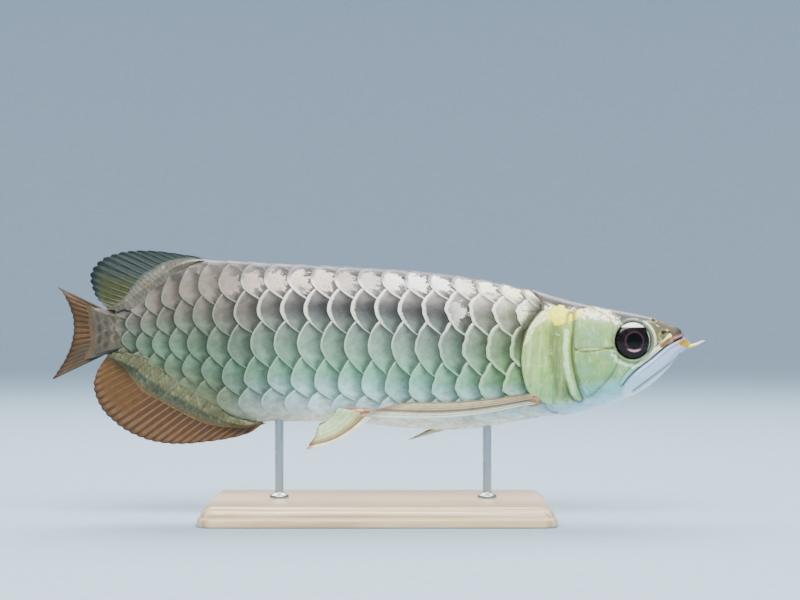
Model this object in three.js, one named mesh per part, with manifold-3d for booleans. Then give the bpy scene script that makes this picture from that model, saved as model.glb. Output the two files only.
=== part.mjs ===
import * as THREE from 'three';
import { mergeVertices } from 'three/addons/utils/BufferGeometryUtils.js';
import Module from 'manifold-3d';

// Asian arowana, life size, held on a display stand.
// Millimetres. +X is toward the snout, +Z is up, the right flank faces -Y and the floor is z = 0.

const GAP = 0.3; // clearance between neighbouring pieces
const REACH = 200; // how far a cutting prism runs out on either side of the middle

// Side outline of the body, [x, z], without the fins.
const BACK = [
  [-174, 125.8], [-164, 126.8], [-157, 128.9], [-149, 133.6], [-137, 142.6], [-126, 150.2],
  [-115, 155], [-105, 156.4], [-60, 154.4], [-10, 152], [30, 149.2], [60, 145.2], [90, 139],
  [120, 130.6], [146, 125.8], [164, 122], [176, 117.4], [183, 114.2], [184.4, 109.6], [187, 107.8],
  [189.6, 105],
];
const KEEL = [
  [-174, 99.6], [-162, 98.2], [-152, 94.2], [-142, 86.6], [-128, 77.8], [-108, 67.2], [-92, 59.4],
  [-80, 56.8], [-62, 58.2], [-20, 57.6], [20, 54], [42, 53], [62, 54.4], [86, 58.8], [110, 61.6],
  [134, 67.6], [152, 73.4], [164, 80], [176, 91], [184, 100.4], [189.6, 104.4],
];
// Half thickness of the body from above, [x, y].
const HALF_WIDTH = [
  [-174, 2.6], [-164, 3.4], [-149, 5.4], [-125, 8.4], [-89, 12.4], [-47, 16], [1, 18.4],
  [43, 19.4], [85, 19.8], [112, 19.6], [136, 17.8], [156, 14.8], [170, 11.4], [180, 8],
  [186, 4.8], [189.6, 1.6],
];
const WIDEST = [[-174, 0.5], [-120, 0.56], [-40, 0.62], [100, 0.62], [150, 0.6], [189.6, 0.5]];

// Squareness of the cross-section above and below its widest height: 2 is an ellipse.
const BACK_SQUARE = 2.7;
const FLANK_FLAT = 2.5;
const KEEL_SHARP = 1.6;

const TAIL_X = -165;
const HEAD_SWELL = 1.2; // how far the gill cover stands out from the trunk
const HEAD_STATIONS = [
  78, 87, 94, 101, 108, 115, 122, 129, 135, 141, 147, 153, 159, 165, 171, 177, 181, 183.2, 185.3, 187, 189.4,
];
const HEAD_AROUND = 15; // faces from back to keel on one side
const TRUNK_CUTS = [-148, -68, 13]; // where tail, rear, middle and front lengths part

// Scales lie in rows round the girth, row 0 on the back and row 6 on the keel. Each shows a plate
// that rises toward its free hind edge, and each row steps toward the snout from the row above.
const SCALE = {
  rows: 12,
  step: 0.72, // stagger from row to row, in scale lengths
  reach: 0.677, // half height of a free edge, in row spacings
  rise: 0.95, // height of the free edge over the scale behind it
  sunk: 0.45, // depth of the lowest points under the side outline
  longest: 14.1, // length of a scale from x = fullAt forward
  shortest: 8.4, // length of a scale at x = shortAt
  fullAt: -76.8,
  shortAt: -160.8,
  phase: 0.51,
  behind: -1.5, // first and last place along the body, counted in scales
  ahead: 22,
};
// Share of the half girth, back to keel, at which each row runs, at stations in x.
const ROW_PATHS = [
  [-158, [0, 0.15, 0.38, 0.65, 0.87, 0.95, 1]],
  [-143, [0, 0.2, 0.43, 0.657, 0.874, 0.96, 1]],
  [-131, [0, 0.25, 0.439, 0.613, 0.82, 0.95, 1]],
  [-107, [0, 0.207, 0.396, 0.587, 0.738, 0.896, 1]],
  [-77, [0, 0.155, 0.33, 0.52, 0.714, 0.85, 1]],
  [-20, [0, 0.147, 0.322, 0.521, 0.75, 0.88, 1]],
  [55, [0, 0.125, 0.275, 0.49, 0.716, 0.86, 1]],
];

// Line in side view where head skin ends and the scales begin, back to throat.
const NAPE = [
  [96, 170], [98, 146], [99, 130], [97, 118], [96, 104], [97, 88], [100, 76], [104, 68], [116, 57], [120, 40],
];

// Outlines in side view.
const GILL_COVER = [
  [117.6, 123], [112, 127.6], [106.8, 128.6], [98, 125.6], [89.6, 115.4], [85.6, 102], [85.8, 89],
  [90, 76.4], [99, 70.4], [112, 69.4], [123.6, 72], [121, 78], [117.4, 90], [116, 105],
];
const COVER_THICK = 2.6;

// Bony plates that stand out from the cheek, and the preopercle on the gill cover.
const CHEEK_PLATES = [
  [[118.6, 125], [134, 124], [140.8, 117], [139.4, 107.6], [140.2, 103.6], [117.4, 102.6]],
  [
    [117.6, 101.4], [140.8, 102.2], [143.6, 96.6], [141.4, 90], [136, 83], [129, 76.4], [124.6, 75],
    [120, 84],
  ],
];
const PREOPERCLE = [
  [117, 121.6], [113.6, 123], [110.8, 113], [109.4, 103], [110.4, 89], [114.6, 76], [119, 71.8],
  [122.6, 72.4], [120.4, 78], [116.8, 90], [115.4, 105],
];
const PLATE_RISE = 0.7;
const ORBIT = { radius: 12, tube: 1.1, y: 14.9 };
const NOSTRILS = [{ at: [172, 112.2], radius: 1.7 }, { at: [166.4, 119.6], radius: 1.3 }];
const LIP_RADIUS = 1.2;
const UPPER_LIP_FROM = 177; // the upper lip runs round the snout from here; behind it lies the maxilla
const LOWER_LIP_FROM = 156;

const MOUTH_LINE = [
  [196, 112], [184.2, 109.3], [179, 107.3], [174.2, 104.8], [169.2, 101], [164.4, 97], [159.4, 93.4],
  [154.6, 89.6], [150.4, 85.4], [147, 80.8],
];
const JAW_HINGE = [[143.5, 75.5], [140, 66], [140, 40], [200, 40]];
const UPPER_JAW = [
  [175.8, 112.2], [171.6, 108.2], [166.8, 103.6], [161.6, 99.2], [156.4, 95], [151.4, 90.6], [147.6, 86],
  [145.2, 81.4], [146.4, 80.6], [150, 85], [154.3, 89.4], [159.1, 93.2], [164.1, 96.8], [168.9, 100.8],
  [173.9, 104.6], [177.8, 106.6],
];
const UPPER_JAW_THICK = 2;

const EYE = { x: 152.6, y: 13.4, z: 107.4, radius: 11.1, depth: 3.9, turn: 0.2 };

// Fins of the middle plane: root on the body and free edge, both from front to back as [x, z]. Their
// rays lean back: the share of the edge a ray ends at is that of the root to the power of lean.
const DORSAL = {
  rays: 17,
  lean: 0.66,
  root: [
    [-103, 156], [-115, 154.6], [-127, 149], [-137, 141.6], [-145, 135.6], [-152, 131.4], [-158, 128.6],
    [-164, 126.8],
  ],
  edge: [
    [-104, 157.4], [-118, 159.6], [-137, 162], [-156, 161.2], [-168, 156.6], [-174.6, 148.6], [-174, 140.4],
    [-171, 133.4], [-165.6, 128],
  ],
};
const ANAL = {
  rays: 25,
  lean: 0.74,
  root: [
    [-70, 57.6], [-82, 56.8], [-93, 59.6], [-108, 67], [-122, 74.6], [-136, 83], [-148, 92], [-164, 98.2],
  ],
  edge: [
    [-71, 56], [-78, 51.4], [-87, 48.6], [-104, 45.8], [-124, 44.6], [-142, 47.8], [-158, 56], [-169, 68],
    [-172.6, 80], [-171, 88], [-167, 94.8],
  ],
};
const CAUDAL = { // from top to bottom
  rays: 16,
  lean: 1,
  root: [[-165, 126], [-163, 120], [-162, 112.5], [-163, 105], [-165, 99]],
  edge: [
    [-195, 140.4], [-191.4, 136.4], [-188, 130], [-185.4, 121], [-185, 112], [-187, 102.6], [-191, 94.6],
    [-195, 88], [-198, 83.4],
  ],
};
// Paired fins: root and tip from back to front as [x, z, distance from the middle]. The blade sags
// between them by [forward, outward, up], and the left pectoral hangs lower than the right.
const PECTORAL = {
  rays: 8,
  root: [[88, 76, 15.6], [91.6, 73.4, 15.6], [93.4, 70, 14.6]],
  tip: {
    right: [[18, 71, 19.4], [4, 68.4, 21.4], [-10.8, 62.8, 23]],
    left: [[44, 57, 21], [31, 52, 23], [17.6, 45, 25]],
  },
  sag: { right: [0, 2.4, -4.6], left: [0, 2.4, -1.6] },
  base: { at: [91.4, 72.8, 12.4], radii: [7, 4.2, 4.8] },
};
const PELVIC = {
  rays: 6,
  root: [[-24.6, 66.4, 11], [-14, 64.4, 11], [-3.8, 61.8, 9.8]],
  tip: { both: [[-36.4, 56, 14.6], [-38.4, 49.4, 18], [-43.4, 42.6, 20]] },
  sag: { both: [1, 1, -4.2] },
  base: { at: [-14, 64.4, 8], radii: [12.4, 4, 3.4] },
};
const RAY_HALF = 0.55;
const WEB_HALF = 0.32;
const TIP_SHARE = 0.6; // thickness left at a fin's edge, as a share of that at its root
const RAY_STEPS = 4;
const SCALLOP = 0.7; // how far the web's edge falls back between the ray tips
const ROOT_DEPTH = 2.6;
const SLOT_SIDES = 14; // pieces of the line along the floor of a fin's slot
const SLOT_HEIGHT = 8;

const BARBEL = { root: [186.4, 1.6, 103.6], tip: [197.6, 4.2, 107.6], rootRadius: 1.05, tipRadius: 0.5 };

const STAND = {
  length: 210, width: 110, height: 12, corner: 10, edge: 2,
  rodRadius: 2.6, rodX: [-60, 66],
  sunk: 7, // depth of a rod's foot in the base
  pierce: 8, // depth of a rod's head in the belly
};

const SHADES = {
  head: 0xa9b48c, jaw: 0xc4cbd6, cover: 0xb9c795, maxilla: 0xd8d3b4, trunk: 0x9fb3a2, tail: 0x8f958c,
  eye: 0x141216, dorsal: 0x52625f, anal: 0x9b6a48, caudal: 0x9a6f55, pectoral: 0xcfae8c, pelvic: 0xb39a62,
  barbel: 0xd9c06a, base: 0x5a3b26, rod: 0x9b9ea3,
};

const wasm = await Module();
wasm.setup();

/** Smooth function of x through a list of [x, value], without overshoot. */
function smooth(points) {
  const slope = points.slice(1).map((p, i) => (p[1] - points[i][1]) / (p[0] - points[i][0]));
  const tangent = points.map((p, i) => {
    if (i === 0) return slope[0];
    if (i === points.length - 1) return slope[i - 1];
    const [a, b] = [slope[i - 1], slope[i]];
    return a * b <= 0 ? 0 : (2 * a * b) / (a + b);
  });
  return (x) => {
    const last = points.length - 2;
    let i = 0;
    while (i < last && x > points[i + 1][0]) i += 1;
    const [[x0, v0], [x1, v1]] = [points[i], points[i + 1]];
    const span = x1 - x0;
    const t = THREE.MathUtils.clamp((x - x0) / span, 0, 1);
    const bend = t * t * (3 - 2 * t);
    return v0 + (v1 - v0) * bend + span * (tangent[i] * t * (1 - t) ** 2 - tangent[i + 1] * t * t * (1 - t));
  };
}

const back = smooth(BACK);
const keel = smooth(KEEL);
const halfWidth = smooth(HALF_WIDTH);
const widest = smooth(WIDEST);

/** Point of the body's skin at x and at a share of the half girth from back to keel, lifted outward. */
function skinPoint(x, share, side, lift) {
  const top = back(x);
  const bottom = keel(x);
  const waist = bottom + (top - bottom) * widest(x);
  const half = halfWidth(x);
  const outline = [];
  const steps = 40;
  for (let i = 0; i <= steps; i += 1) {
    const angle = (Math.PI * i) / steps;
    const upper = i <= steps / 2;
    const square = upper ? BACK_SQUARE : KEEL_SHARP;
    const rise = Math.abs(Math.cos(angle)) ** (2 / FLANK_FLAT);
    outline.push(new THREE.Vector2(
      half * Math.sin(angle) ** (2 / square),
      upper ? waist + (top - waist) * rise : waist - (waist - bottom) * rise,
    ));
  }
  outline[steps].x = 0;
  const reach = [0];
  for (let i = 1; i <= steps; i += 1) reach.push(reach[i - 1] + outline[i].distanceTo(outline[i - 1]));
  const target = THREE.MathUtils.clamp(share, 0, 1) * reach[steps];
  let i = 1;
  while (i < steps && reach[i] < target) i += 1;
  const t = (target - reach[i - 1]) / (reach[i] - reach[i - 1]);
  const point = outline[i - 1].clone().lerp(outline[i], t);
  const before = outline[Math.max(i - 2, 0)];
  const after = outline[Math.min(i + 1, steps)];
  const along = after.clone().sub(before).normalize();
  const outward = new THREE.Vector2(-along.y, along.x);
  if (share <= 0) outward.set(0, 1);
  if (share >= 1) outward.set(0, -1);
  point.addScaledVector(outward, lift);
  return new THREE.Vector3(x, side * Math.max(point.x, 0), point.y);
}

/** Closed body from rings of points, with a centre point at each end. */
function loft(rings) {
  const around = rings[0].length;
  const points = rings.flat();
  const faces = [];
  for (let i = 0; i + 1 < rings.length; i += 1) {
    for (let k = 0; k < around; k += 1) {
      const a = i * around + k;
      const b = i * around + ((k + 1) % around);
      faces.push([a, b, b + around], [a, b + around, a + around]);
    }
  }
  for (const end of [0, rings.length - 1]) {
    const centre = points.length;
    const middle = new THREE.Vector3();
    rings[end].forEach((p) => middle.addScaledVector(p, 1 / around));
    points.push(middle);
    for (let k = 0; k < around; k += 1) {
      const a = end * around + k;
      const b = end * around + ((k + 1) % around);
      faces.push(end === 0 ? [centre, b, a] : [centre, a, b]);
    }
  }
  return solidOf(points, faces);
}

/** Solid from points and triangles, turned so that its faces point out. */
function solidOf(points, faces) {
  const geometry = new THREE.BufferGeometry().setFromPoints(points);
  geometry.setIndex(faces.flat());
  return solidOfGeometry(geometry);
}

/** Solid from a closed geometry. */
function solidOfGeometry(geometry) {
  const bare = geometry.clone();
  bare.deleteAttribute('normal');
  bare.deleteAttribute('uv');
  const merged = mergeVertices(bare, 1e-4);
  const corners = Array.from(merged.index.array);
  const p = merged.attributes.position;
  const [a, b, c] = [new THREE.Vector3(), new THREE.Vector3(), new THREE.Vector3()];
  let volume = 0;
  const kept = [];
  for (let i = 0; i < corners.length; i += 3) {
    const [ia, ib, ic] = corners.slice(i, i + 3);
    if (ia === ib || ib === ic || ic === ia) continue;
    kept.push(ia, ib, ic);
    a.fromBufferAttribute(p, ia);
    b.fromBufferAttribute(p, ib);
    c.fromBufferAttribute(p, ic);
    volume += a.dot(b.cross(c));
  }
  if (volume < 0) kept.reverse();
  return new wasm.Manifold(new wasm.Mesh({
    numProp: 3,
    vertProperties: new Float32Array(p.array),
    triVerts: new Uint32Array(kept),
  }));
}

/** The largest closed surface of a solid. */
function largest(solid) {
  const pieces = solid.decompose();
  return pieces.reduce((best, piece) => (piece.volume() > best.volume() ? piece : best));
}

/** Prism across the whole body from an outline in side view, grown by a margin. */
function prism(outline, margin, fromY = -REACH, toY = REACH) {
  const corners = outline.map(([x, z]) => new THREE.Vector2(x, z));
  const turn = THREE.ShapeUtils.isClockWise(corners) ? 1 : -1;
  const count = corners.length;
  const grown = corners.map((corner, i) => {
    const before = corner.clone().sub(corners[(i + count - 1) % count]).normalize();
    const after = corners[(i + 1) % count].clone().sub(corner).normalize();
    const normal = new THREE.Vector2(-(before.y + after.y), before.x + after.x).normalize();
    const slant = Math.max(0.5, normal.dot(new THREE.Vector2(-before.y, before.x)));
    return corner.clone().addScaledVector(normal, (turn * margin) / slant);
  });
  const shape = new THREE.Shape(grown);
  const geometry = new THREE.ExtrudeGeometry(shape, { depth: toY - fromY, bevelEnabled: false });
  geometry.rotateX(Math.PI / 2);
  geometry.translate(0, toY, 0);
  return solidOfGeometry(geometry);
}

/** Body skin as a plain loft through stations in x, lifted outward. */
function bodyLength(stations, around, liftAt) {
  const rings = [];
  for (const x of stations) {
    const ring = [];
    for (let k = 0; k < 2 * around; k += 1) {
      const side = k <= around ? -1 : 1;
      const share = k <= around ? k / around : 2 - k / around;
      ring.push(skinPoint(x, share, side, liftAt(x, share)));
    }
    rings.push(ring);
  }
  return loft(rings);
}

/** Fin as one closed plate: a ridge for each ray and a thinner web between, both faces cut alike. */
function finPlate(rootAt, edgeAt, rays, depth, sag = new THREE.Vector3()) {
  const columns = 2 * rays;
  const steps = RAY_STEPS;
  const points = [];
  for (let i = 0; i <= columns; i += 1) {
    const share = i / columns;
    const root = rootAt(share);
    const edge = edgeAt(share);
    const run = edge.clone().sub(root).normalize();
    root.addScaledVector(run, -depth);
    const across = rootAt(Math.min(share + 0.02, 1)).sub(rootAt(Math.max(share - 0.02, 0)));
    const face = across.cross(run).normalize();
    const isRay = i % 2 === 1;
    if (!isRay) edge.addScaledVector(run, -SCALLOP);
    for (let j = 0; j <= steps; j += 1) {
      const t = j / steps;
      const sagging = Math.sin(Math.PI * t) * (0.4 + 0.6 * share);
      const centre = root.clone().lerp(edge, t).addScaledVector(sag, sagging);
      const half = (isRay ? RAY_HALF : WEB_HALF) * (1 - (1 - TIP_SHARE) * t);
      points.push(centre.clone().addScaledVector(face, half), centre.clone().addScaledVector(face, -half));
    }
  }
  const at = (i, j, lower) => (i * (steps + 1) + j) * 2 + lower;
  const faces = [];
  for (let i = 0; i < columns; i += 1) {
    for (let j = 0; j < steps; j += 1) {
      const [a, b, c, d] = [[i, j], [i + 1, j], [i + 1, j + 1], [i, j + 1]];
      faces.push([at(...a, 0), at(...b, 0), at(...c, 0)], [at(...a, 0), at(...c, 0), at(...d, 0)]);
      faces.push([at(...a, 1), at(...c, 1), at(...b, 1)], [at(...a, 1), at(...d, 1), at(...c, 1)]);
    }
    for (const j of [0, steps]) {
      const [a, b] = j === 0 ? [i, i + 1] : [i + 1, i];
      faces.push([at(a, j, 0), at(a, j, 1), at(b, j, 1)], [at(a, j, 0), at(b, j, 1), at(b, j, 0)]);
    }
  }
  for (let j = 0; j < steps; j += 1) {
    for (const i of [0, columns]) {
      const [a, b] = i === 0 ? [j + 1, j] : [j, j + 1];
      faces.push([at(i, a, 0), at(i, a, 1), at(i, b, 1)], [at(i, a, 0), at(i, b, 1), at(i, b, 0)]);
    }
  }
  return solidOf(points, faces);
}

/** Curve through a few points, run along by an even share of its length. */
function along(points) {
  const curve = new THREE.CatmullRomCurve3(points, false, 'centripetal');
  return (share) => curve.getPointAt(share);
}

const inMiddle = ([x, z]) => new THREE.Vector3(x, 0, z);

/** Fin in the middle plane. Grown by a margin it is a flat slot along the fin's root. */
function middleFin({ rays, lean, root, edge }, grow = 0) {
  const [rootAt, freeEdgeAt] = [along(root.map(inMiddle)), along(edge.map(inMiddle))];
  const edgeAt = (share) => freeEdgeAt(share ** lean);
  if (!grow) return finPlate(rootAt, edgeAt, rays, ROOT_DEPTH);
  const outline = [];
  for (let i = 0; i <= SLOT_SIDES; i += 1) {
    const [foot, rim] = [rootAt(i / SLOT_SIDES), edgeAt(i / SLOT_SIDES)];
    const run = rim.clone().sub(foot).normalize();
    const deep = foot.clone().addScaledVector(run, -ROOT_DEPTH - grow / 2);
    const high = foot.clone().addScaledVector(run, Math.min(SLOT_HEIGHT, rim.distanceTo(foot)));
    outline.push([deep.x, deep.z]);
    outline.unshift([high.x, high.z]);
  }
  return prism(outline, grow, -RAY_HALF - grow, RAY_HALF + grow);
}

/** Paired fin: the blade joined to a fleshy base half sunk in the flank. Grown, it is the base's socket. */
function pairedFin(fin, way, side, grow = 0) {
  const place = ([x, z, y]) => new THREE.Vector3(x, side * y, z);
  const radii = new THREE.Vector3(...fin.base.radii).addScalar(grow);
  const base = ellipsoid(place(fin.base.at), radii, 10);
  if (grow) return base;
  const [forward, outward, up] = fin.sag[way];
  const sag = new THREE.Vector3(forward, side * outward, up);
  return base.add(finPlate(along(fin.root.map(place)), along(fin.tip[way].map(place)), fin.rays, 0, sag));
}

/** Point of the head's skin on one side at x and a height. */
function skinAtHeight(x, height, side, lift) {
  let [low, high] = [0, 1];
  for (let i = 0; i < 24; i += 1) {
    const middle = (low + high) / 2;
    if (skinPoint(x, middle, side, lift).z > height) low = middle;
    else high = middle;
  }
  return skinPoint(x, (low + high) / 2, side, lift);
}

/** Round roll of flesh along the mouth from one cheek round the snout to the other. */
function lip(fromX, drop, radius) {
  const halfPath = MOUTH_LINE.filter(([x]) => x > fromX && x < 186).map(([x, z]) => [x, z + drop]).reverse();
  const right = halfPath.map(([x, z]) => skinAtHeight(x, z, -1, -0.3));
  const left = halfPath.map(([x, z]) => skinAtHeight(x, z, 1, -0.3)).reverse();
  const path = new THREE.CatmullRomCurve3([...right, ...left], false, 'centripetal');
  const count = 2 * halfPath.length + 4;
  const rings = [];
  const up = new THREE.Vector3(0, 0, 1);
  for (let i = 0; i <= count; i += 1) {
    const at = path.getPointAt(i / count);
    const run = path.getTangentAt(i / count);
    const out = up.clone().cross(run).normalize();
    const rise = run.clone().cross(out);
    const thick = radius * (0.5 + 0.5 * Math.sin((Math.PI * i) / count) ** 0.5);
    rings.push(Array.from({ length: 7 }, (_, k) => {
      const angle = (2 * Math.PI * k) / 7;
      return at.clone()
        .addScaledVector(out, thick * Math.cos(angle))
        .addScaledVector(rise, thick * Math.sin(angle));
    }));
  }
  return loft(rings);
}

/** Ring of skin round an eye. */
function orbit(side) {
  const geometry = new THREE.TorusGeometry(ORBIT.radius, ORBIT.tube, 4, 16);
  geometry.rotateX(Math.PI / 2);
  geometry.rotateZ(-side * EYE.turn);
  geometry.translate(EYE.x, side * ORBIT.y, EYE.z);
  return solidOfGeometry(geometry);
}

/** Round tapering rod from one point to another. */
function taper(from, to, fromRadius, toRadius, sides = 10, bow = 0) {
  const rings = [];
  const steps = bow ? 4 : 1;
  const run = to.clone().sub(from).normalize();
  const across = new THREE.Vector3(0, 1, 0).cross(run).lengthSq() > 0.01
    ? new THREE.Vector3(0, 1, 0).cross(run).normalize()
    : new THREE.Vector3(1, 0, 0);
  const other = run.clone().cross(across);
  for (let i = 0; i <= steps; i += 1) {
    const t = i / steps;
    const centre = from.clone().lerp(to, t).addScaledVector(across, bow * Math.sin(Math.PI * t));
    const radius = fromRadius + (toRadius - fromRadius) * t;
    rings.push(Array.from({ length: sides }, (_, k) => {
      const angle = (2 * Math.PI * k) / sides;
      return centre.clone()
        .addScaledVector(across, radius * Math.cos(angle))
        .addScaledVector(other, radius * Math.sin(angle));
    }));
  }
  return loft(rings);
}

function ellipsoid(centre, radii, around, turn = 0) {
  const geometry = new THREE.SphereGeometry(1, around, Math.round(around * 0.6));
  geometry.scale(radii.x, radii.y, radii.z);
  geometry.rotateZ(turn);
  geometry.translate(centre.x, centre.y, centre.z);
  return solidOfGeometry(geometry);
}

/** Place in x of a point counted in scales along the body. */
function scaleX(count) {
  const growth = (SCALE.longest - SCALE.shortest) / (SCALE.fullAt - SCALE.shortAt);
  const turn = Math.log(SCALE.longest / SCALE.shortest) / growth;
  const run = count - SCALE.phase;
  if (run > turn) return SCALE.fullAt + SCALE.longest * (run - turn);
  return SCALE.shortAt + (SCALE.shortest * (Math.exp(growth * run) - 1)) / growth;
}

/** Share of the half girth at a row number, whole or in between, at x. */
function rowShare(row, x) {
  const low = Math.min(Math.floor(row), 5);
  const behind = ROW_PATHS.filter(([station]) => station < x).length;
  const after = THREE.MathUtils.clamp(behind, 1, ROW_PATHS.length - 1);
  const [[rear, rearPath], [front, frontPath]] = [ROW_PATHS[after - 1], ROW_PATHS[after]];
  const { clamp, lerp } = THREE.MathUtils;
  const shareOn = (path) => lerp(path[low], path[low + 1], row - low);
  return lerp(shareOn(rearPath), shareOn(frontPath), clamp((x - rear) / (front - rear), 0, 1));
}

/** Trunk and tail stalk as one skin of overlapping scales. */
function scaledBody() {
  const { rows, step, reach, rise, sunk } = SCALE;
  const crossing = (1 - reach) / reach; // where a neighbour's edge ends on this edge
  const square = crossing ** 2;
  // How far the two ends of an edge run forward of its middle, toward the keel and toward the back.
  const keelward = (step + square * (1 - step)) / (1 - square ** 2);
  const backward = 1 - step + square * keelward;
  const wrap = (row) => (row + rows) % rows;
  const isRight = (row) => row >= 1 && row <= rows / 2;
  const startOf = (row) => Math.min(row, rows - row) * step;
  const places = [-1, -crossing, 0, crossing, 1];
  const lifts = [0, 0.85, 1, 0.85, 0];
  const points = [];
  const numbers = new Map();
  const vertex = (key, row, along, across, lift) => {
    if (!numbers.has(key)) {
      const x = scaleX(along);
      const turned = wrap(row + across * reach);
      const side = turned <= rows / 2 ? -1 : 1;
      numbers.set(key, points.length);
      points.push(skinPoint(x, rowShare(Math.min(turned, rows - turned), x), side, lift - sunk));
    }
    return numbers.get(key);
  };
  const alongEdge = (row, place, i) => {
    const towardKeel = i > 2 ? row < rows / 2 : !isRight(row);
    return place + startOf(row) + (towardKeel ? keelward : backward) * places[i] ** 2;
  };
  // An edge's ends lie on the edges of the rows on either side, so those points are shared.
  const low = (row, place, i) => {
    if (i === 4) return low(wrap(row + 1), place + (row < rows / 2 ? 0 : 1), 1);
    if (i === 0) return low(wrap(row - 1), place + (isRight(row) ? 1 : 0), 3);
    return vertex(`${row} ${place} ${i}`, row, alongEdge(row, place, i), places[i], 0);
  };
  const high = (row, place, i) => {
    if (i === 0 || i === 4) return low(row, place, i);
    return vertex(`${row} ${place} ${i} high`, row, alongEdge(row, place, i), places[i], rise * lifts[i]);
  };
  const faces = [];
  for (let row = 0; row < rows; row += 1) {
    const start = startOf(row);
    for (let place = Math.ceil(SCALE.behind - start); place + start < SCALE.ahead; place += 1) {
      const top = places.map((_, i) => high(row, place, i));
      const foot = places.map((_, i) => low(row, place, i));
      const centre = vertex(`${row} ${place} middle`, row, place + start + 0.5, 0, rise * 0.62);
      const rim = [...top, ...[3, 2, 1].map((i) => low(row, place + 1, i))];
      rim.forEach((corner, i) => faces.push([centre, corner, rim[(i + 1) % rim.length]]));
      faces.push([top[1], foot[0], foot[1]], [top[4], top[3], foot[3]]);
      for (const i of [1, 2]) faces.push([top[i + 1], top[i], foot[i]], [top[i + 1], foot[i], foot[i + 1]]);
    }
  }
  return closeEnds(points, faces);
}

/** Solid from a tube of faces, each open end closed with a fan to its middle. */
function closeEnds(points, faces) {
  const edges = new Map();
  for (const [a, b, c] of faces) {
    for (const [from, to] of [[a, b], [b, c], [c, a]]) edges.set(`${from} ${to}`, [from, to]);
  }
  const next = new Map();
  for (const [a, b] of edges.values()) if (!edges.has(`${b} ${a}`)) next.set(a, b);
  while (next.size > 0) {
    const ring = [next.keys().next().value];
    while (next.get(ring.at(-1)) !== ring[0]) ring.push(next.get(ring.at(-1)));
    const middle = new THREE.Vector3();
    ring.forEach((a) => middle.addScaledVector(points[a], 1 / ring.length));
    points.push(middle);
    ring.forEach((a) => faces.push([points.length - 1, next.get(a), a]));
    ring.forEach((a) => next.delete(a));
  }
  return solidOf(points, faces);
}

// Head with its gill covers, jaws and eye sockets.
const headSide = (margin) => prism([...NAPE, [220, 40], [220, 170]], margin);
const headSkin = (lift, coarser = 1) => {
  const swell = (x, share) => (
    lift + HEAD_SWELL * THREE.MathUtils.smoothstep(150 - x, 0, 40) * Math.sin(Math.PI * share) ** 0.6
  );
  const stations = HEAD_STATIONS.filter((x, i) => i % coarser === 0 || x > 182);
  return bodyLength(stations, Math.round(HEAD_AROUND / coarser), swell);
};
const sides = { right: -1, left: 1 };
const onSide = (side, outline, margin) => (
  side < 0 ? prism(outline, margin, -REACH, 0) : prism(outline, margin, 0, REACH)
);

const headWhole = headSkin(0);
const underCover = headSkin(-COVER_THICK, 2);
const pocketCover = headSkin(-COVER_THICK - GAP, 2);
const underJawBone = headSkin(-UPPER_JAW_THICK, 2);
const pocketJawBone = headSkin(-UPPER_JAW_THICK - GAP, 2);
const jawSide = [...MOUTH_LINE, ...JAW_HINGE];

const pieces = {};
let head = headWhole.intersect(headSide(-GAP / 2));
head = head.add(lip(UPPER_LIP_FROM, LIP_RADIUS + GAP, LIP_RADIUS)).subtract(prism(jawSide, GAP / 2));
let lowerJaw = headWhole.add(lip(LOWER_LIP_FROM, -LIP_RADIUS - GAP, LIP_RADIUS));
lowerJaw = lowerJaw.intersect(prism(jawSide, -GAP / 2));
const raisedSkin = headSkin(PLATE_RISE);
let trunk = scaledBody().trimByPlane([1, 0, 0], TAIL_X);
trunk = trunk.subtract(headSide(GAP / 2));

for (const [name, side] of Object.entries(sides)) {
  const cover = headWhole.intersect(onSide(side, GILL_COVER, 0));
  const coverPocket = onSide(side, GILL_COVER, GAP).subtract(pocketCover);
  const ridge = raisedSkin.intersect(onSide(side, PREOPERCLE, 0));
  pieces[`gill_cover_${name}`] = [cover.add(ridge).subtract(underCover), SHADES.cover];
  head = head.subtract(coverPocket).add(orbit(side));
  for (const plate of CHEEK_PLATES) head = head.add(raisedSkin.intersect(onSide(side, plate, 0)));
  for (const { at, radius } of NOSTRILS) {
    const pit = skinAtHeight(...at, side, 0);
    head = head.subtract(ellipsoid(pit, new THREE.Vector3(radius, 1.6, radius * 0.8), 8));
  }
  trunk = trunk.subtract(coverPocket);

  const bone = headSkin(0.5).intersect(onSide(side, UPPER_JAW, 0));
  const bonePocket = onSide(side, UPPER_JAW, GAP).subtract(pocketJawBone);
  pieces[`maxilla_${name}`] = [bone.subtract(underJawBone), SHADES.maxilla];
  head = head.subtract(bonePocket);
  lowerJaw = lowerJaw.subtract(bonePocket);

  const centre = new THREE.Vector3(EYE.x, side * EYE.y, EYE.z);
  const ball = (margin) => {
    const radii = new THREE.Vector3(EYE.radius, EYE.depth, EYE.radius).addScalar(margin);
    return ellipsoid(centre, radii, 16, -side * EYE.turn);
  };
  pieces[`eye_${name}`] = [ball(0), SHADES.eye];
  head = head.subtract(ball(GAP));

  const root = new THREE.Vector3(BARBEL.root[0], side * BARBEL.root[1], BARBEL.root[2]);
  const tip = new THREE.Vector3(BARBEL.tip[0], side * BARBEL.tip[1], BARBEL.tip[2]);
  const barbel = (margin) => {
    const foot = root.clone().addScaledVector(tip.clone().sub(root).normalize(), -margin);
    return taper(foot, tip, BARBEL.rootRadius + margin, BARBEL.tipRadius + margin, 7, 0.8);
  };
  pieces[`barbel_${name}`] = [barbel(0), SHADES.barbel];
  lowerJaw = lowerJaw.subtract(barbel(GAP));
}

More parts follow.
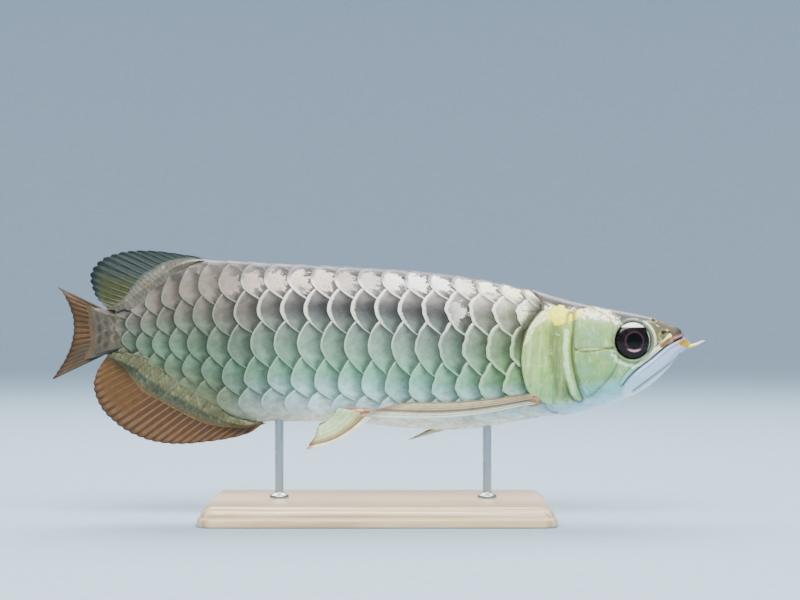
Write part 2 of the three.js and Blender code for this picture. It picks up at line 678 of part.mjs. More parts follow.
// Fins, each sunk by its root into a slot of the body.
const fins = {
  dorsal_fin: [(grow) => middleFin(DORSAL, grow), SHADES.dorsal],
  anal_fin: [(grow) => middleFin(ANAL, grow), SHADES.anal],
  caudal_fin: [(grow) => middleFin(CAUDAL, grow), SHADES.caudal],
  pectoral_fin_right: [(grow) => pairedFin(PECTORAL, 'right', -1, grow), SHADES.pectoral],
  pectoral_fin_left: [(grow) => pairedFin(PECTORAL, 'left', 1, grow), SHADES.pectoral],
  pelvic_fin_right: [(grow) => pairedFin(PELVIC, 'both', -1, grow), SHADES.pelvic],
  pelvic_fin_left: [(grow) => pairedFin(PELVIC, 'both', 1, grow), SHADES.pelvic],
};
for (const [name, [plate, shade]] of Object.entries(fins)) {
  const slot = plate(GAP);
  pieces[name] = [plate(0), shade];
  trunk = trunk.subtract(slot);
  head = head.subtract(slot);
  for (const side of Object.keys(sides)) {
    pieces[`gill_cover_${side}`][0] = pieces[`gill_cover_${side}`][0].subtract(slot);
  }
}

// Display stand: a bevelled base and two rods that run up into the belly.
function standBase() {
  const { length, width, height, corner, edge } = STAND;
  const [x, y] = [length / 2 - edge, width / 2 - edge];
  const shape = new THREE.Shape();
  shape.moveTo(-x + corner, -y);
  shape.lineTo(x - corner, -y);
  shape.quadraticCurveTo(x, -y, x, -y + corner);
  shape.lineTo(x, y - corner);
  shape.quadraticCurveTo(x, y, x - corner, y);
  shape.lineTo(-x + corner, y);
  shape.quadraticCurveTo(-x, y, -x, y - corner);
  shape.lineTo(-x, -y + corner);
  shape.quadraticCurveTo(-x, -y, -x + corner, -y);
  const geometry = new THREE.ExtrudeGeometry(shape, {
    depth: height - 2 * edge, bevelThickness: edge, bevelSize: edge, bevelSegments: 1, curveSegments: 4,
  });
  geometry.translate(0, 0, edge);
  return solidOfGeometry(geometry);
}

let base = standBase();
['stand_rod_rear', 'stand_rod_front'].forEach((name, i) => {
  const x = STAND.rodX[i];
  const foot = new THREE.Vector3(x, 0, STAND.height - STAND.sunk);
  const top = new THREE.Vector3(x, 0, keel(x) + STAND.pierce);
  const rod = (margin) => {
    const [low, high] = [foot.clone().setZ(foot.z - margin), top.clone().setZ(top.z + margin)];
    return taper(low, high, STAND.rodRadius + margin, STAND.rodRadius + margin, 20);
  };
  pieces[name] = [rod(0), SHADES.rod];
  base = base.subtract(rod(GAP));
  trunk = trunk.subtract(rod(GAP));
});
pieces.stand_base = [base, SHADES.base];

// The trunk parts into lengths.
const lengths = ['tail_stalk', 'trunk_rear', 'trunk_middle', 'trunk_front'];
lengths.forEach((name, i) => {
  let length = trunk;
  if (i > 0) length = length.trimByPlane([1, 0, 0], TRUNK_CUTS[i - 1] + GAP / 2);
  if (i < TRUNK_CUTS.length) length = length.trimByPlane([-1, 0, 0], GAP / 2 - TRUNK_CUTS[i]);
  pieces[name] = [length, name === 'tail_stalk' ? SHADES.tail : SHADES.trunk];
});
pieces.head = [head, SHADES.head];
pieces.lower_jaw = [lowerJaw, SHADES.jaw];

/** Named mesh of a solid, in its own shade. */
function meshOf(name, solid, shade) {
  const { vertProperties, triVerts, numProp } = largest(solid).getMesh();
  const geometry = new THREE.BufferGeometry();
  const positions = new Float32Array((vertProperties.length / numProp) * 3);
  for (let i = 0; i < positions.length / 3; i += 1) {
    for (let c = 0; c < 3; c += 1) positions[3 * i + c] = vertProperties[numProp * i + c];
  }
  geometry.setAttribute('position', new THREE.BufferAttribute(positions, 3));
  geometry.setIndex(Array.from(triVerts));
  geometry.computeVertexNormals();
  const metal = name.startsWith('stand_rod') ? 0.9 : 0;
  const material = new THREE.MeshStandardMaterial({ color: shade, roughness: 0.45, metalness: metal });
  const mesh = new THREE.Mesh(geometry, material);
  mesh.name = name;
  return mesh;
}

const arowana = new THREE.Group();
for (const [name, [solid, shade]] of Object.entries(pieces)) arowana.add(meshOf(name, solid, shade));

export default arowana;
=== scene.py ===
"""Looks of an asian arowana on its display stand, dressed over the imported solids.

Lengths are in millimetres until a mesh is made. +X is toward the snout, +Z is up and the right
flank faces -Y.
"""
import math

import bpy
import numpy as np
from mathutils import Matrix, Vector


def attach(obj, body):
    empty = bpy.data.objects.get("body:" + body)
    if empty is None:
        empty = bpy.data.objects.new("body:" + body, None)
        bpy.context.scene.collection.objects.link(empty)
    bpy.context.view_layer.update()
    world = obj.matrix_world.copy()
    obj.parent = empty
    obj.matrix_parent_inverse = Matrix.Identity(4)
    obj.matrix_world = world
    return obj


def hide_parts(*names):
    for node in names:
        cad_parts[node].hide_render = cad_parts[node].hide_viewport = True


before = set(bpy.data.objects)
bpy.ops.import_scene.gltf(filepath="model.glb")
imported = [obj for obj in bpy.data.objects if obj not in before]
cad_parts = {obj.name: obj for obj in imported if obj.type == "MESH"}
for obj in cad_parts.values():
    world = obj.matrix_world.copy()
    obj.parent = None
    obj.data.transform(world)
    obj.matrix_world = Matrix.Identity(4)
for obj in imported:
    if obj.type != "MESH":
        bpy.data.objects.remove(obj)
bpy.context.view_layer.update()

MM = 0.001
rng = np.random.default_rng(7)

# Side outline of the body, [x, z], and its half thickness from above, [x, y].
BACK = [
    (-174, 125.8), (-164, 126.8), (-157, 128.9), (-149, 133.6), (-137, 142.6), (-126, 150.2),
    (-115, 155), (-105, 156.4), (-60, 154.4), (-10, 152), (30, 149.2), (60, 145.2), (90, 139),
    (120, 130.6), (146, 125.8), (164, 122), (176, 117.4), (183, 114.2), (184.4, 109.6), (187, 107.8),
    (189.6, 105),
]
KEEL = [
    (-174, 99.6), (-162, 98.2), (-152, 94.2), (-142, 86.6), (-128, 77.8), (-108, 67.2), (-92, 59.4),
    (-80, 56.8), (-62, 58.2), (-20, 57.6), (20, 54), (42, 53), (62, 54.4), (86, 58.8), (110, 61.6),
    (134, 67.6), (152, 73.4), (164, 80), (176, 91), (184, 100.4), (189.6, 104.4),
]
HALF_WIDTH = [
    (-174, 2.6), (-164, 3.4), (-149, 5.4), (-125, 8.4), (-89, 12.4), (-47, 16), (1, 18.4),
    (43, 19.4), (85, 19.8), (112, 19.6), (136, 17.8), (156, 14.8), (170, 11.4), (180, 8),
    (186, 4.8), (189.6, 1.6),
]
WIDEST = [(-174, 0.5), (-120, 0.56), (-40, 0.62), (100, 0.62), (150, 0.6), (189.6, 0.5)]

# Squareness of the cross-section above and below its widest height: 2 is an ellipse.
BACK_SQUARE = 2.7
FLANK_FLAT = 2.5
KEEL_SHARP = 1.6

TAIL_END = -172  # the body's flesh thins out over the root of the tail fin up to here
TAIL_THINS = -161
SNOUT_END = 189.5
SKIN_DEPTH = 1.15  # how far the skin lies under the scales
HEAD_SWELL = 1.2

# Scales lie in rows round the girth, row 0 on the back and row 6 on the keel.
SCALE = {
    "rows": 12,
    "step": 0.72,  # stagger from row to row, in scale lengths
    "reach": 0.677,  # half height of a free edge, in row spacings
    "rise": 0.95,  # height of the free edge over the scale behind it
    "sunk": 0.45,  # depth of the lowest points under the side outline
    "flat": {0: 0.3, 6: 0.3},  # share of the rise left on back and keel
    "longest": 14.1,
    "shortest": 8.4,
    "full_at": -76.8,
    "short_at": -160.8,
    "phase": 0.51,
    "behind": -2.3,  # first and last place along the body, counted in scales
    "ahead": 20.2,
}
# Share of the half girth, back to keel, at which each row runs, at stations in x.
ROW_PATHS = [
    (-158, [0, 0.15, 0.38, 0.65, 0.87, 0.95, 1]),
    (-143, [0, 0.2, 0.43, 0.657, 0.874, 0.96, 1]),
    (-131, [0, 0.25, 0.439, 0.613, 0.82, 0.95, 1]),
    (-107, [0, 0.207, 0.396, 0.587, 0.738, 0.896, 1]),
    (-77, [0, 0.155, 0.33, 0.52, 0.714, 0.85, 1]),
    (-20, [0, 0.147, 0.322, 0.521, 0.75, 0.88, 1]),
    (55, [0, 0.125, 0.275, 0.49, 0.716, 0.86, 1]),
]

# Outlines and lines on the head, in side view.
NAPE = [
    (84, 170), (88.4, 146), (92.6, 138), (98.6, 130), (97, 118), (96, 104), (97, 88), (100, 76),
    (104, 68), (116, 57), (120, 40),
]
GILL_COVER = [
    (117.6, 123), (112, 127.6), (106.8, 128.6), (98, 125.6), (89.6, 115.4), (85.6, 102), (85.8, 89),
    (90, 76.4), (99, 70.4), (112, 69.4), (123.6, 72), (121, 78), (117.4, 90), (116, 105),
]
CHEEK_PLATES = [
    [(118.6, 125), (134, 124), (140.8, 117), (139.4, 107.6), (140.2, 103.6), (117.4, 102.6)],
    [(117.6, 101.4), (140.8, 102.2), (143.6, 96.6), (141.4, 90), (136, 83), (129, 76.4), (124.6, 75),
     (120, 84)],
]
PREOPERCLE = [
    (117, 121.6), (113.6, 123), (110.8, 113), (109.4, 103), (110.4, 89), (114.6, 76), (119, 71.8),
    (122.6, 72.4), (120.4, 78), (116.8, 90), (115.4, 105),
]
MOUTH_LINE = [
    (192, 111.2), (184.2, 109.3), (179, 107.3), (174.2, 104.8), (169.2, 101), (164.4, 97),
    (159.4, 93.4), (154.6, 89.6), (150.4, 85.4), (147, 80.8),
]
UPPER_JAW = [
    (175.8, 112.2), (171.6, 108.2), (166.8, 103.6), (161.6, 99.2), (156.4, 95), (151.4, 90.6),
    (147.6, 86), (145.2, 81.4), (146.4, 80.6), (150, 85), (154.3, 89.4), (159.1, 93.2),
    (164.1, 96.8), (168.9, 100.8), (173.9, 104.6), (177.8, 106.6),
]
JAW_FOLD = [(183, 99.6), (180, 96.6), (174, 91.8), (163.2, 84), (154, 77)]
THROAT_FOLDS = [
    [(137, 71.5), (131, 73), (126.6, 76.4), (124, 80)],
    [(140, 75), (135, 76.4), (131.6, 79.4)],
    [(133, 69.6), (124, 69.2), (112, 67.4), (100, 67.6)],
]
NOSTRILS = [(172, 112.2, 1.7), (166.4, 119.6, 1.3)]

# Markings on the head, in side view: patches as closed outlines, streaks as a width and their lines.
YELLOW_PATCH = [
    (101.6, 122), (102.6, 125.4), (105.4, 127.6), (109.6, 128.2), (113, 126.2), (116, 124.4),
    (121.4, 123.6), (119, 121), (114.6, 118.8), (110, 118), (105.4, 117), (103.6, 119.4),
]
PALE_BAND = [
    (119, 123.4), (122, 126.4), (128, 126.8), (134, 126.4), (140, 124.6), (143.6, 120.6),
    (143, 116.6), (139, 118.6), (134, 119.4), (128, 120.4), (122, 120.8),
]
STREAKS = {
    "crest": (3.4, [(87.6, 109), (90, 114.6), (94, 119.4), (99, 122.6), (103, 124)]),
    "dark_band": (4.6, [(105.6, 116), (105, 104), (106.6, 90), (110, 76)]),
    "pale_strip": (1.7, [(112.2, 114), (111.8, 102), (113, 90), (117, 77)]),
    "streak": (1.3, [(118, 102.4), (126, 102.6), (137.6, 102.2)]),
    "snout_streak": (1.2, [(162.4, 120.8), (166, 119.4), (170.6, 116)], [(163, 118.2), (168, 115.4)]),
    "rust": (1.7, [(170.4, 104.6), (174.6, 107.6), (178, 109.4)]),
    "chin": (2.6, [(183, 106.4), (186.4, 105.6), (190, 105)]),
}
# How far the dark crown comes down from the back, [x, depth].
CROWN = [
    (80, 7), (94, 7), (102, 5.6), (111, 7.4), (119, 3.8), (137, 2.8), (143, 5), (148, 9), (156, 8),
    (163, 2.6), (172, 4), (180, 6), (190, 6),
]
EYE = {"x": 152.6, "y": 13.4, "z": 107.4, "radius": 11.1, "depth": 3.9, "turn": 0.2}
ORBIT = 12.0  # radius of the rim round the eye


def smooth(points):
    """Smooth function through [x, value] points, without overshoot."""
    xs, values = np.array(points, float).T
    spans = np.diff(xs)
    slope = np.diff(values) / spans
    product = slope[:-1] * slope[1:]
    total = np.where(product > 0, slope[:-1] + slope[1:], 1)
    tangent = np.concatenate([slope[:1], np.where(product > 0, 2 * product / total, 0), slope[-1:]])

    def value(x):
        x = np.asarray(x, float)
        i = np.clip(np.searchsorted(xs, x) - 1, 0, len(spans) - 1)
        t = np.clip((x - xs[i]) / spans[i], 0, 1)
        ease = spans[i] * (tangent[i] * t * (1 - t) ** 2 - tangent[i + 1] * t * t * (1 - t))
        return values[i] + (values[i + 1] - values[i]) * t * t * (3 - 2 * t) + ease

    return value


def ramp(low, high, value):
    """0 below low, 1 above high and smooth between; high may be the smaller one."""
    t = np.clip((value - low) / (high - low), 0, 1)
    return t * t * (3 - 2 * t)


def bump(value, width):
    """Bell of height 1 round 0."""
    return np.exp(-((value / width) ** 2))


def unit(vectors):
    """Vectors of length 1 along the last axis."""
    return vectors / np.linalg.norm(vectors, axis=-1, keepdims=True)


def grid(first, second):
    """Two arrays of all pairs of two lists of values."""
    return np.meshgrid(first, second, indexing="ij")


def circle(count):
    """Evenly spaced angles all the way round."""
    return np.arange(count) / count * 2 * np.pi


def curve(points, samples=16):
    """Function from a share of a curve's length to points on it. It runs through the given points."""
    p = np.array(points, float)
    p = np.vstack([2 * p[0] - p[1], p, 2 * p[-1] - p[-2]])
    line = []
    for i in range(1, len(p) - 2):
        a, b, c, d = p[i - 1 : i + 3]
        knots = np.cumsum([0] + [max(np.linalg.norm(v), 1e-6) ** 0.5 for v in (b - a, c - b, d - c)])
        t = np.linspace(knots[1], knots[2], samples, endpoint=False)[:, None]

        def blend(u, v, first, last):
            low, high = knots[first], knots[last]
            return (u * (high - t) + v * (t - low)) / (high - low)

        ab, bc, cd = blend(a, b, 0, 1), blend(b, c, 1, 2), blend(c, d, 2, 3)
        line.append(blend(blend(ab, bc, 0, 2), blend(bc, cd, 1, 3), 1, 2))
    line = np.vstack(line + [p[-2:-1]])
    reach = np.concatenate([[0], np.cumsum(np.linalg.norm(np.diff(line, axis=0), axis=1))])

    def at(share):
        return np.stack([np.interp(np.asarray(share) * reach[-1], reach, axis) for axis in line.T], -1)

    return at


def middle_curve(points):
    """Curve in the middle plane through [x, z] points."""
    return curve([(x, 0, z) for x, z in points])


def rounded(outline, samples=8):
    """Finer points of a rounded closed outline through a few points."""
    p = np.array(list(outline[-2:]) + list(outline) + list(outline[:2]), float)
    t = np.linspace(0, 1, samples, endpoint=False)[:, None]
    line = []
    for i in range(2, len(p) - 2):
        a, b, c, d = p[i - 1 : i + 3]
        line.append(b + 0.5 * t * (c - a + t * (2 * a - 5 * b + 4 * c - d + t * (3 * (b - c) + d - a))))
    return np.vstack(line)


def drawn(line, samples=8):
    """Finer points of an open line through a few points."""
    return curve(line)(np.linspace(0, 1, samples * len(line)))


def distance(x, z, line, closed=True):
    """Distance of points from a line in side view; positive inside a closed one and negative outside."""
    corners = np.vstack([line, line[:1]]) if closed else np.asarray(line, float)
    best = np.full(np.shape(x), np.inf)
    inside = np.zeros(np.shape(x), bool)
    for (x0, z0), (x1, z1) in zip(corners[:-1], corners[1:]):
        dx, dz = x1 - x0, z1 - z0
        t = np.clip(((x - x0) * dx + (z - z0) * dz) / (dx * dx + dz * dz), 0, 1)
        best = np.minimum(best, np.hypot(x - x0 - t * dx, z - z0 - t * dz))
        crossing = (z0 > z) != (z1 > z)
        inside ^= crossing & (x < x0 + (z - z0) * dx / (dz if dz else 1))
    return np.where(inside, best, -best) if closed else best


class Form:
    """The body and head without relief, as a table of sections along x."""

    STEP = 0.25
    SHARES = 256
    SECTION_POINTS = 201
    REACH = (-176, 190.01)  # first and last section in x
    THINNEST = 0.22  # share of the thickness left at the end of the tail's flesh

    def __init__(self):
        back, keel, half, widest = (smooth(points) for points in (BACK, KEEL, HALF_WIDTH, WIDEST))
        self.x = np.arange(*self.REACH, self.STEP)
        self.share = np.linspace(0, 1, self.SHARES + 1)
        angle = np.linspace(0, math.pi, self.SECTION_POINTS)
        upper = angle <= math.pi / 2
        out = np.sin(angle) ** (2 / np.where(upper, BACK_SQUARE, KEEL_SHARP))
        out[-1] = 0
        rise = np.abs(np.cos(angle)) ** (2 / FLANK_FLAT)
        ys, zs = [], []
        for x in self.x:
            top, bottom = back(x), keel(x)
            waist = bottom + (top - bottom) * widest(x)
            thin = self.THINNEST + (1 - self.THINNEST) * ramp(TAIL_END, TAIL_THINS, x)
            y = half(x) * out * thin
            z = np.where(upper, waist + (top - waist) * rise, waist - (waist - bottom) * rise)
            reach = np.concatenate([[0], np.cumsum(np.hypot(np.diff(y), np.diff(z)))])
            ys.append(np.interp(self.share * reach[-1], reach, y))
            zs.append(np.interp(self.share * reach[-1], reach, z))
        self.y, self.z = np.array(ys), np.array(zs)
        y_along, y_down = np.gradient(self.y, self.STEP, self.share)
        z_along, z_down = np.gradient(self.z, self.STEP, self.share)
        self.normal = unit(np.stack([y_along * z_down - z_along * y_down, -z_down, y_down], -1))

    def at(self, x, girth):
        """Points and outward directions at x and girth: 0 on the back, 1 on the keel, 2 on the back again.

        Girth runs down the right flank first.
        """
        share = np.where(girth <= 1, girth, 2 - girth)
        side = np.where(girth <= 1, -1, 1)
        i = np.clip((x - self.x[0]) / self.STEP, 0, len(self.x) - 1.001)
        k = np.clip(share, 0, 1) * self.SHARES * 0.999999
        i0, k0 = i.astype(int), k.astype(int)
        ti, tk = i - i0, k - k0

        def read(table):
            t, s = (ti, tk) if table.ndim == 2 else (ti[..., None], tk[..., None])
            near = table[i0, k0] * (1 - s) + table[i0, k0 + 1] * s
            return near * (1 - t) + (table[i0 + 1, k0] * (1 - s) + table[i0 + 1, k0 + 1] * s) * t

        normal = read(self.normal)
        normal[..., 1] *= side
        return np.stack([x, side * read(self.y), read(self.z)], -1), unit(normal)


form = Form()


def grid_faces(rows, columns, closed=True):
    """Quads of a grid of points, and the place of their corners in the grid from 0 to 1."""
    across = columns if closed else columns - 1
    i, k = grid(np.arange(rows - 1), np.arange(across))
    corners = [(i, k), (i, k + 1), (i + 1, k + 1), (i + 1, k)]
    faces = np.stack([a * columns + b % columns for a, b in corners], -1).reshape(-1, 4)
    spots = [np.stack([a / (rows - 1), b / across], -1).reshape(-1, 2) for a, b in corners]
    return faces, np.stack(spots, 1)


def end_faces(rows, columns, spots=(0.5, 0.5)):
    """The two faces that close a tube of rings, with the map of each."""
    ring = np.arange(columns)
    faces = (ring[None, ::-1], ((rows - 1) * columns + ring)[None])
    return [(face, np.broadcast_to(spot, (1, columns, 2))) for face, spot in zip(faces, spots)]


def shell_faces(rows, columns, split=0.88):
    """Faces of a closed sheet of two like grids, upper and lower, with its rim, and their map.

    The upper face takes the map up to split, the lower one and the rim take the rest.
    """
    upper, spots = grid_faces(rows, columns, closed=False)
    count = rows * columns
    index = np.arange(count).reshape(rows, columns)
    loop = np.concatenate([index[0, :-1], index[:-1, -1], index[-1, :0:-1], index[:0:-1, 0]])
    after = np.roll(loop, -1)
    rim = np.stack([after, loop, loop + count, after + count], -1)
    turn = np.arange(len(loop)) / len(loop)
    rim_spots = np.stack([
        np.stack([turn + step / len(loop), np.full(len(loop), height)], -1)
        for step, height in [(1, 1.0), (0, 1.0), (0, 0.985), (1, 0.985)]
    ], 1)
    upper_spots = spots * [1, split]
    lower_spots = spots[:, ::-1] * [1, 0.97 - split] + [0, split + 0.005]
    faces = np.vstack([upper, upper[:, ::-1] + count, rim])
    return faces, np.vstack([upper_spots, lower_spots, rim_spots])


def facing_out(points, groups):
    """Groups of faces with their map, turned if the first one's solid is inside out."""
    a, b, c, d = (points[groups[0][0][:, k]] for k in range(4))
    volume = np.einsum("ij,ij->", a, np.cross(b, c)) + np.einsum("ij,ij->", a, np.cross(c, d))
    return groups if volume > 0 else [(faces[:, ::-1], spots[:, ::-1]) for faces, spots in groups]


def both(values):
    """Values of a sheet's points for its upper and its lower face."""
    return np.tile(values.ravel(), 2)


def make_piece(name, points, groups, material, slot=None, values=None, nodes=()):
    """Smooth mesh piece, from groups of faces with their map and values for its material.

    Without a slot it isn't part of the object, and its faces stay as they are given.
    """
    if slot:
        groups = facing_out(points, groups)
    mesh = bpy.data.meshes.new(name)
    mesh.vertices.add(len(points))
    mesh.vertices.foreach_set("co", (np.asarray(points) * MM).astype(np.float32).ravel())
    corners = np.concatenate([faces.ravel() for faces, _ in groups])
    sizes = np.concatenate([np.full(len(faces), faces.shape[1]) for faces, _ in groups])
    mesh.loops.add(len(corners))
    mesh.loops.foreach_set("vertex_index", corners.astype(np.int32))
    mesh.polygons.add(len(sizes))
    mesh.polygons.foreach_set("loop_start", (np.cumsum(sizes) - sizes).astype(np.int32))
    spots = np.concatenate([spots.reshape(-1, 2) for _, spots in groups])
    mesh.uv_layers.new(name="OFBake").uv.foreach_set("vector", spots.astype(np.float32).ravel())
    mesh.update(calc_edges=True)
    for key, array in (values or {}).items():
        kind, field = ("FLOAT", "value") if array.ndim == 1 else ("FLOAT_VECTOR", "vector")
        mesh.attributes.new(key, kind, "POINT").data.foreach_set(field, array.astype(np.float32).ravel())
    mesh.validate()
    mesh.shade_smooth()
    mesh.materials.append(material)
    piece = bpy.data.objects.new(name, mesh)
    bpy.context.scene.collection.objects.link(piece)
    if slot:
        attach(piece, "root")
        if nodes:
            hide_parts(*nodes)
    return piece


# Head, gill covers and the skin under the scales.
COVER, PREOPERCLE_EDGE, MAXILLA = rounded(GILL_COVER), rounded(PREOPERCLE), rounded(UPPER_JAW)
HEAD_SIDE = np.vstack([drawn(NAPE), [(220, 40), (220, 170)]])
PLATES = [rounded(plate) for plate in CHEEK_PLATES]
MOUTH, JAW_LINE = drawn(MOUTH_LINE), drawn(JAW_FOLD)
FOLDS = [drawn(fold) for fold in THROAT_FOLDS]
PATCHES = {"yellow": rounded(YELLOW_PATCH), "pale": rounded(PALE_BAND)}
HEAD_START = 80
back_line, crown_reach = smooth(BACK), smooth(CROWN)


def head_depth(x, z):
    """How far a point lies inside the unscaled skin of the head and gill cover, in side view."""
    return np.maximum(distance(x, z, HEAD_SIDE), distance(x, z, COVER))


def head_relief(x, z, share):
    """Height of the head's forms over the plain body, with the masks that its colours follow."""
    cover, preopercle, maxilla, *plates = (
        distance(x, z, outline) for outline in (COVER, PREOPERCLE_EDGE, MAXILLA, *PLATES)
    )
    mouth, fold = distance(x, z, MOUTH, closed=False), distance(x, z, JAW_LINE, closed=False)
    from_eye = np.hypot(x - EYE["x"], z - EYE["z"])
    ball = EYE["radius"]
    flank = np.sin(np.pi * np.clip(share, 0, 1)) ** 0.6
    below = ramp(-0.4, 0.4, np.interp(x, MOUTH[::-1, 0], MOUTH[::-1, 1]) - z) * ramp(146, 149, x)
    lift = HEAD_SWELL * ramp(150, 110, x) * flank
    lift += 0.35 * bump(cover - 1.6, 1.3) * ramp(118, 106, x)
    lift -= 0.7 * bump(cover, 0.7) * ramp(104, 114, x)
    for plate in (preopercle, *plates):
        lift += 0.6 * ramp(-0.1, 0.9, plate) - 0.35 * bump(plate + 0.2, 0.5)
    lift += 0.9 * bump(from_eye - ORBIT - 0.2, 1.0) - 5 * ramp(ball + 0.1, ball - 1.2, from_eye)
    lift += 0.55 * ramp(-0.1, 0.7, maxilla) - 0.7 * bump(maxilla + 0.25, 0.5) * ramp(0.4, -0.2, maxilla)
    lift -= 1.7 * bump(mouth, 0.5)
    lower_lip = bump(mouth - 1.5, 1.0) * below * ramp(150, 158, x)
    upper_lip = bump(mouth - 1.4, 0.9) * (1 - below) * ramp(175, 179, x)
    lift += 0.8 * lower_lip + 0.9 * upper_lip
    lift -= 0.7 * bump(fold, 0.7)
    for line in FOLDS:
        lift -= 0.5 * bump(distance(x, z, line, closed=False), 0.6)
    nostril_shade = np.zeros_like(x)
    for at_x, at_z, radius in NOSTRILS:
        away = np.hypot(x - at_x, (z - at_z) * 1.15)
        nostril_shade = np.maximum(nostril_shade, ramp(radius, radius - 0.8, away))
        lift += 0.2 * bump(away - radius - 0.4, 0.6) - 1.5 * ramp(radius, radius - 1.0, away)
    nearest_plate = np.maximum(*plates)
    marks = {key: ramp(-2.5, 2.5, distance(x, z, patch)) for key, patch in PATCHES.items()}
    for key, (width, *lines) in STREAKS.items():
        away = np.maximum.reduce([distance(x, z, drawn(line), closed=False) for line in lines])
        marks[key] = bump(away, width)
    below_crown = back_line(x) - z - crown_reach(x)
    toward = np.arctan2(z - EYE["z"], x - EYE["x"])
    ring = from_eye - ORBIT
    seams = [
        bump(preopercle + 0.1, 1.1) * ramp(110, 114, x), bump(preopercle + 0.1, 0.6) * 0.3,
        bump(nearest_plate + 0.2, 0.6) * 0.5, bump(fold, 0.9), bump(mouth, 0.8),
    ]
    masks = {
        "cover": ramp(-0.2, 1.2, cover),
        "crown": ramp(0.9, -0.9, below_crown),
        "mottle": ramp(-0.9, 0.9, below_crown) * ramp(7, 4.5, below_crown) * ramp(149, 143, x),
        # dark joints of the preopercle and cheek plates, and painted shade in the jaw fold and the mouth's
        # slit
        "joint_and_crease_shade": np.maximum.reduce(seams),
        "crescent": bump(ring - 1.6, 1.1) * ramp(1.5, 0.9, np.abs(toward + 0.1)),
        "under_eye": bump(ring - 2.6, 1.7) * ramp(1.3, 0.8, np.abs(toward + 1.75)),
        **marks,
        "plate": ramp(-0.1, 1.0, nearest_plate),
        "maxilla": ramp(0, 0.6, maxilla),
        "lip": np.maximum(upper_lip, lower_lip * ramp(172, 184, x)),
        "jaw": ramp(0, 0.6, mouth) * below,
        # painted shade in the hollows of the nostrils
        "nostril_shade": nostril_shade,
        "orbit": bump(ring, 1.6),
        # painted shade where the skin dips into the eye socket round the eyeball
        "socket_shade": ramp(ball + 0.6, ball - 0.4, from_eye),
    }
    return lift, masks


def skin():
    """One skin over body and head, which lies under the scales and carries the head's forms."""
    around = 340
    stations = np.concatenate([
        np.arange(TAIL_END, 82, 3.4), np.arange(82, 180, 0.6), np.arange(180, SNOUT_END, 0.3), [SNOUT_END],
    ])
    x, girth = grid(stations, np.arange(around) / around * 2)
    place, normal = form.at(x, girth)
    share = np.where(girth <= 1, girth, 2 - girth)
    z = place[..., 2]
    front = stations > HEAD_START
    lift, bare = np.zeros_like(x), np.zeros_like(x)
    lift[front], masks = head_relief(x[front], z[front], share[front])
    bare[front] = ramp(-0.5, 0.6, head_depth(x[front], z[front]))
    lift = lift * bare - SKIN_DEPTH * (1 - bare) * ramp(TAIL_END, TAIL_THINS, x)
    points = (place + normal * lift[..., None]).reshape(-1, 3)
    values = {}
    for key, mask in masks.items():
        full = np.zeros_like(x)
        full[front] = mask
        values[key] = full.ravel()
    values["share"] = share.ravel()
    values["bare"] = bare.ravel()
    groups = [grid_faces(len(stations), around), *end_faces(len(stations), around)]
    nodes = [
        "head", "lower_jaw", "maxilla_right", "maxilla_left", "gill_cover_right", "gill_cover_left",
        "trunk_front", "trunk_middle", "trunk_rear", "tail_stalk",
    ]
    make_piece("skin", points, groups, skin_material(), "skin", values, nodes)


KEEL_ROW = SCALE["rows"] // 2
SCALE_ACROSS = 25  # points across a scale; the list below goes from its free edge to its root
SCALE_FORWARD = [0, 0.01, 0.028, 0.055, 0.1, 0.17, 0.27, 0.39, 0.52, 0.65, 0.78, 0.9, 1.02, 1.14]
SCALE_THICK = 0.45
SCALE_HALF = 1.12  # half width of a scale with the part hidden under its neighbours
LIP = 0.05  # length of the thinned free edge, in scale lengths
FAR_FROM_HEAD = -9.0
SCALE_PIECES = {
    "scales_right": range(1, KEEL_ROW),
    "scales_left": range(KEEL_ROW + 1, SCALE["rows"]),
    "scales_back_and_keel": (0, KEEL_ROW),
}
ISLAND = [0.92, 0.94]  # of a scale's cell of the map, the share that it fills
HIDDEN_DEPTH = 1.5  # a scale that lies this far inside the head's skin is left out
FIRST_SCALE, LAST_SCALE = TAIL_END + 1.5, 110  # limits in x of a scale's rear end


def scale_x(count):
    """Place in x of a point counted in scales along the body."""
    growth = (SCALE["longest"] - SCALE["shortest"]) / (SCALE["full_at"] - SCALE["short_at"])
    turn = math.log(SCALE["longest"] / SCALE["shortest"]) / growth
    run = count - SCALE["phase"]
    far = SCALE["full_at"] + SCALE["longest"] * (run - turn)
    near = SCALE["short_at"] + SCALE["shortest"] * (np.exp(growth * np.minimum(run, turn)) - 1) / growth
    return np.where(run > turn, far, near)


def row_share(row, x):
    """Share of the half girth at a row number from 0 to 6, whole or in between, at x."""
    low = np.minimum(row.astype(int), KEEL_ROW - 1)
    paths = np.array([path for _, path in ROW_PATHS])
    place = np.interp(x, [station for station, _ in ROW_PATHS], range(len(paths)))
    station = np.minimum(place.astype(int), len(paths) - 2)
    rear, front = (
        paths[at, low] + (paths[at, low + 1] - paths[at, low]) * (row - low)
        for at in (station, station + 1)
    )
    return rear + (front - rear) * (place - station)


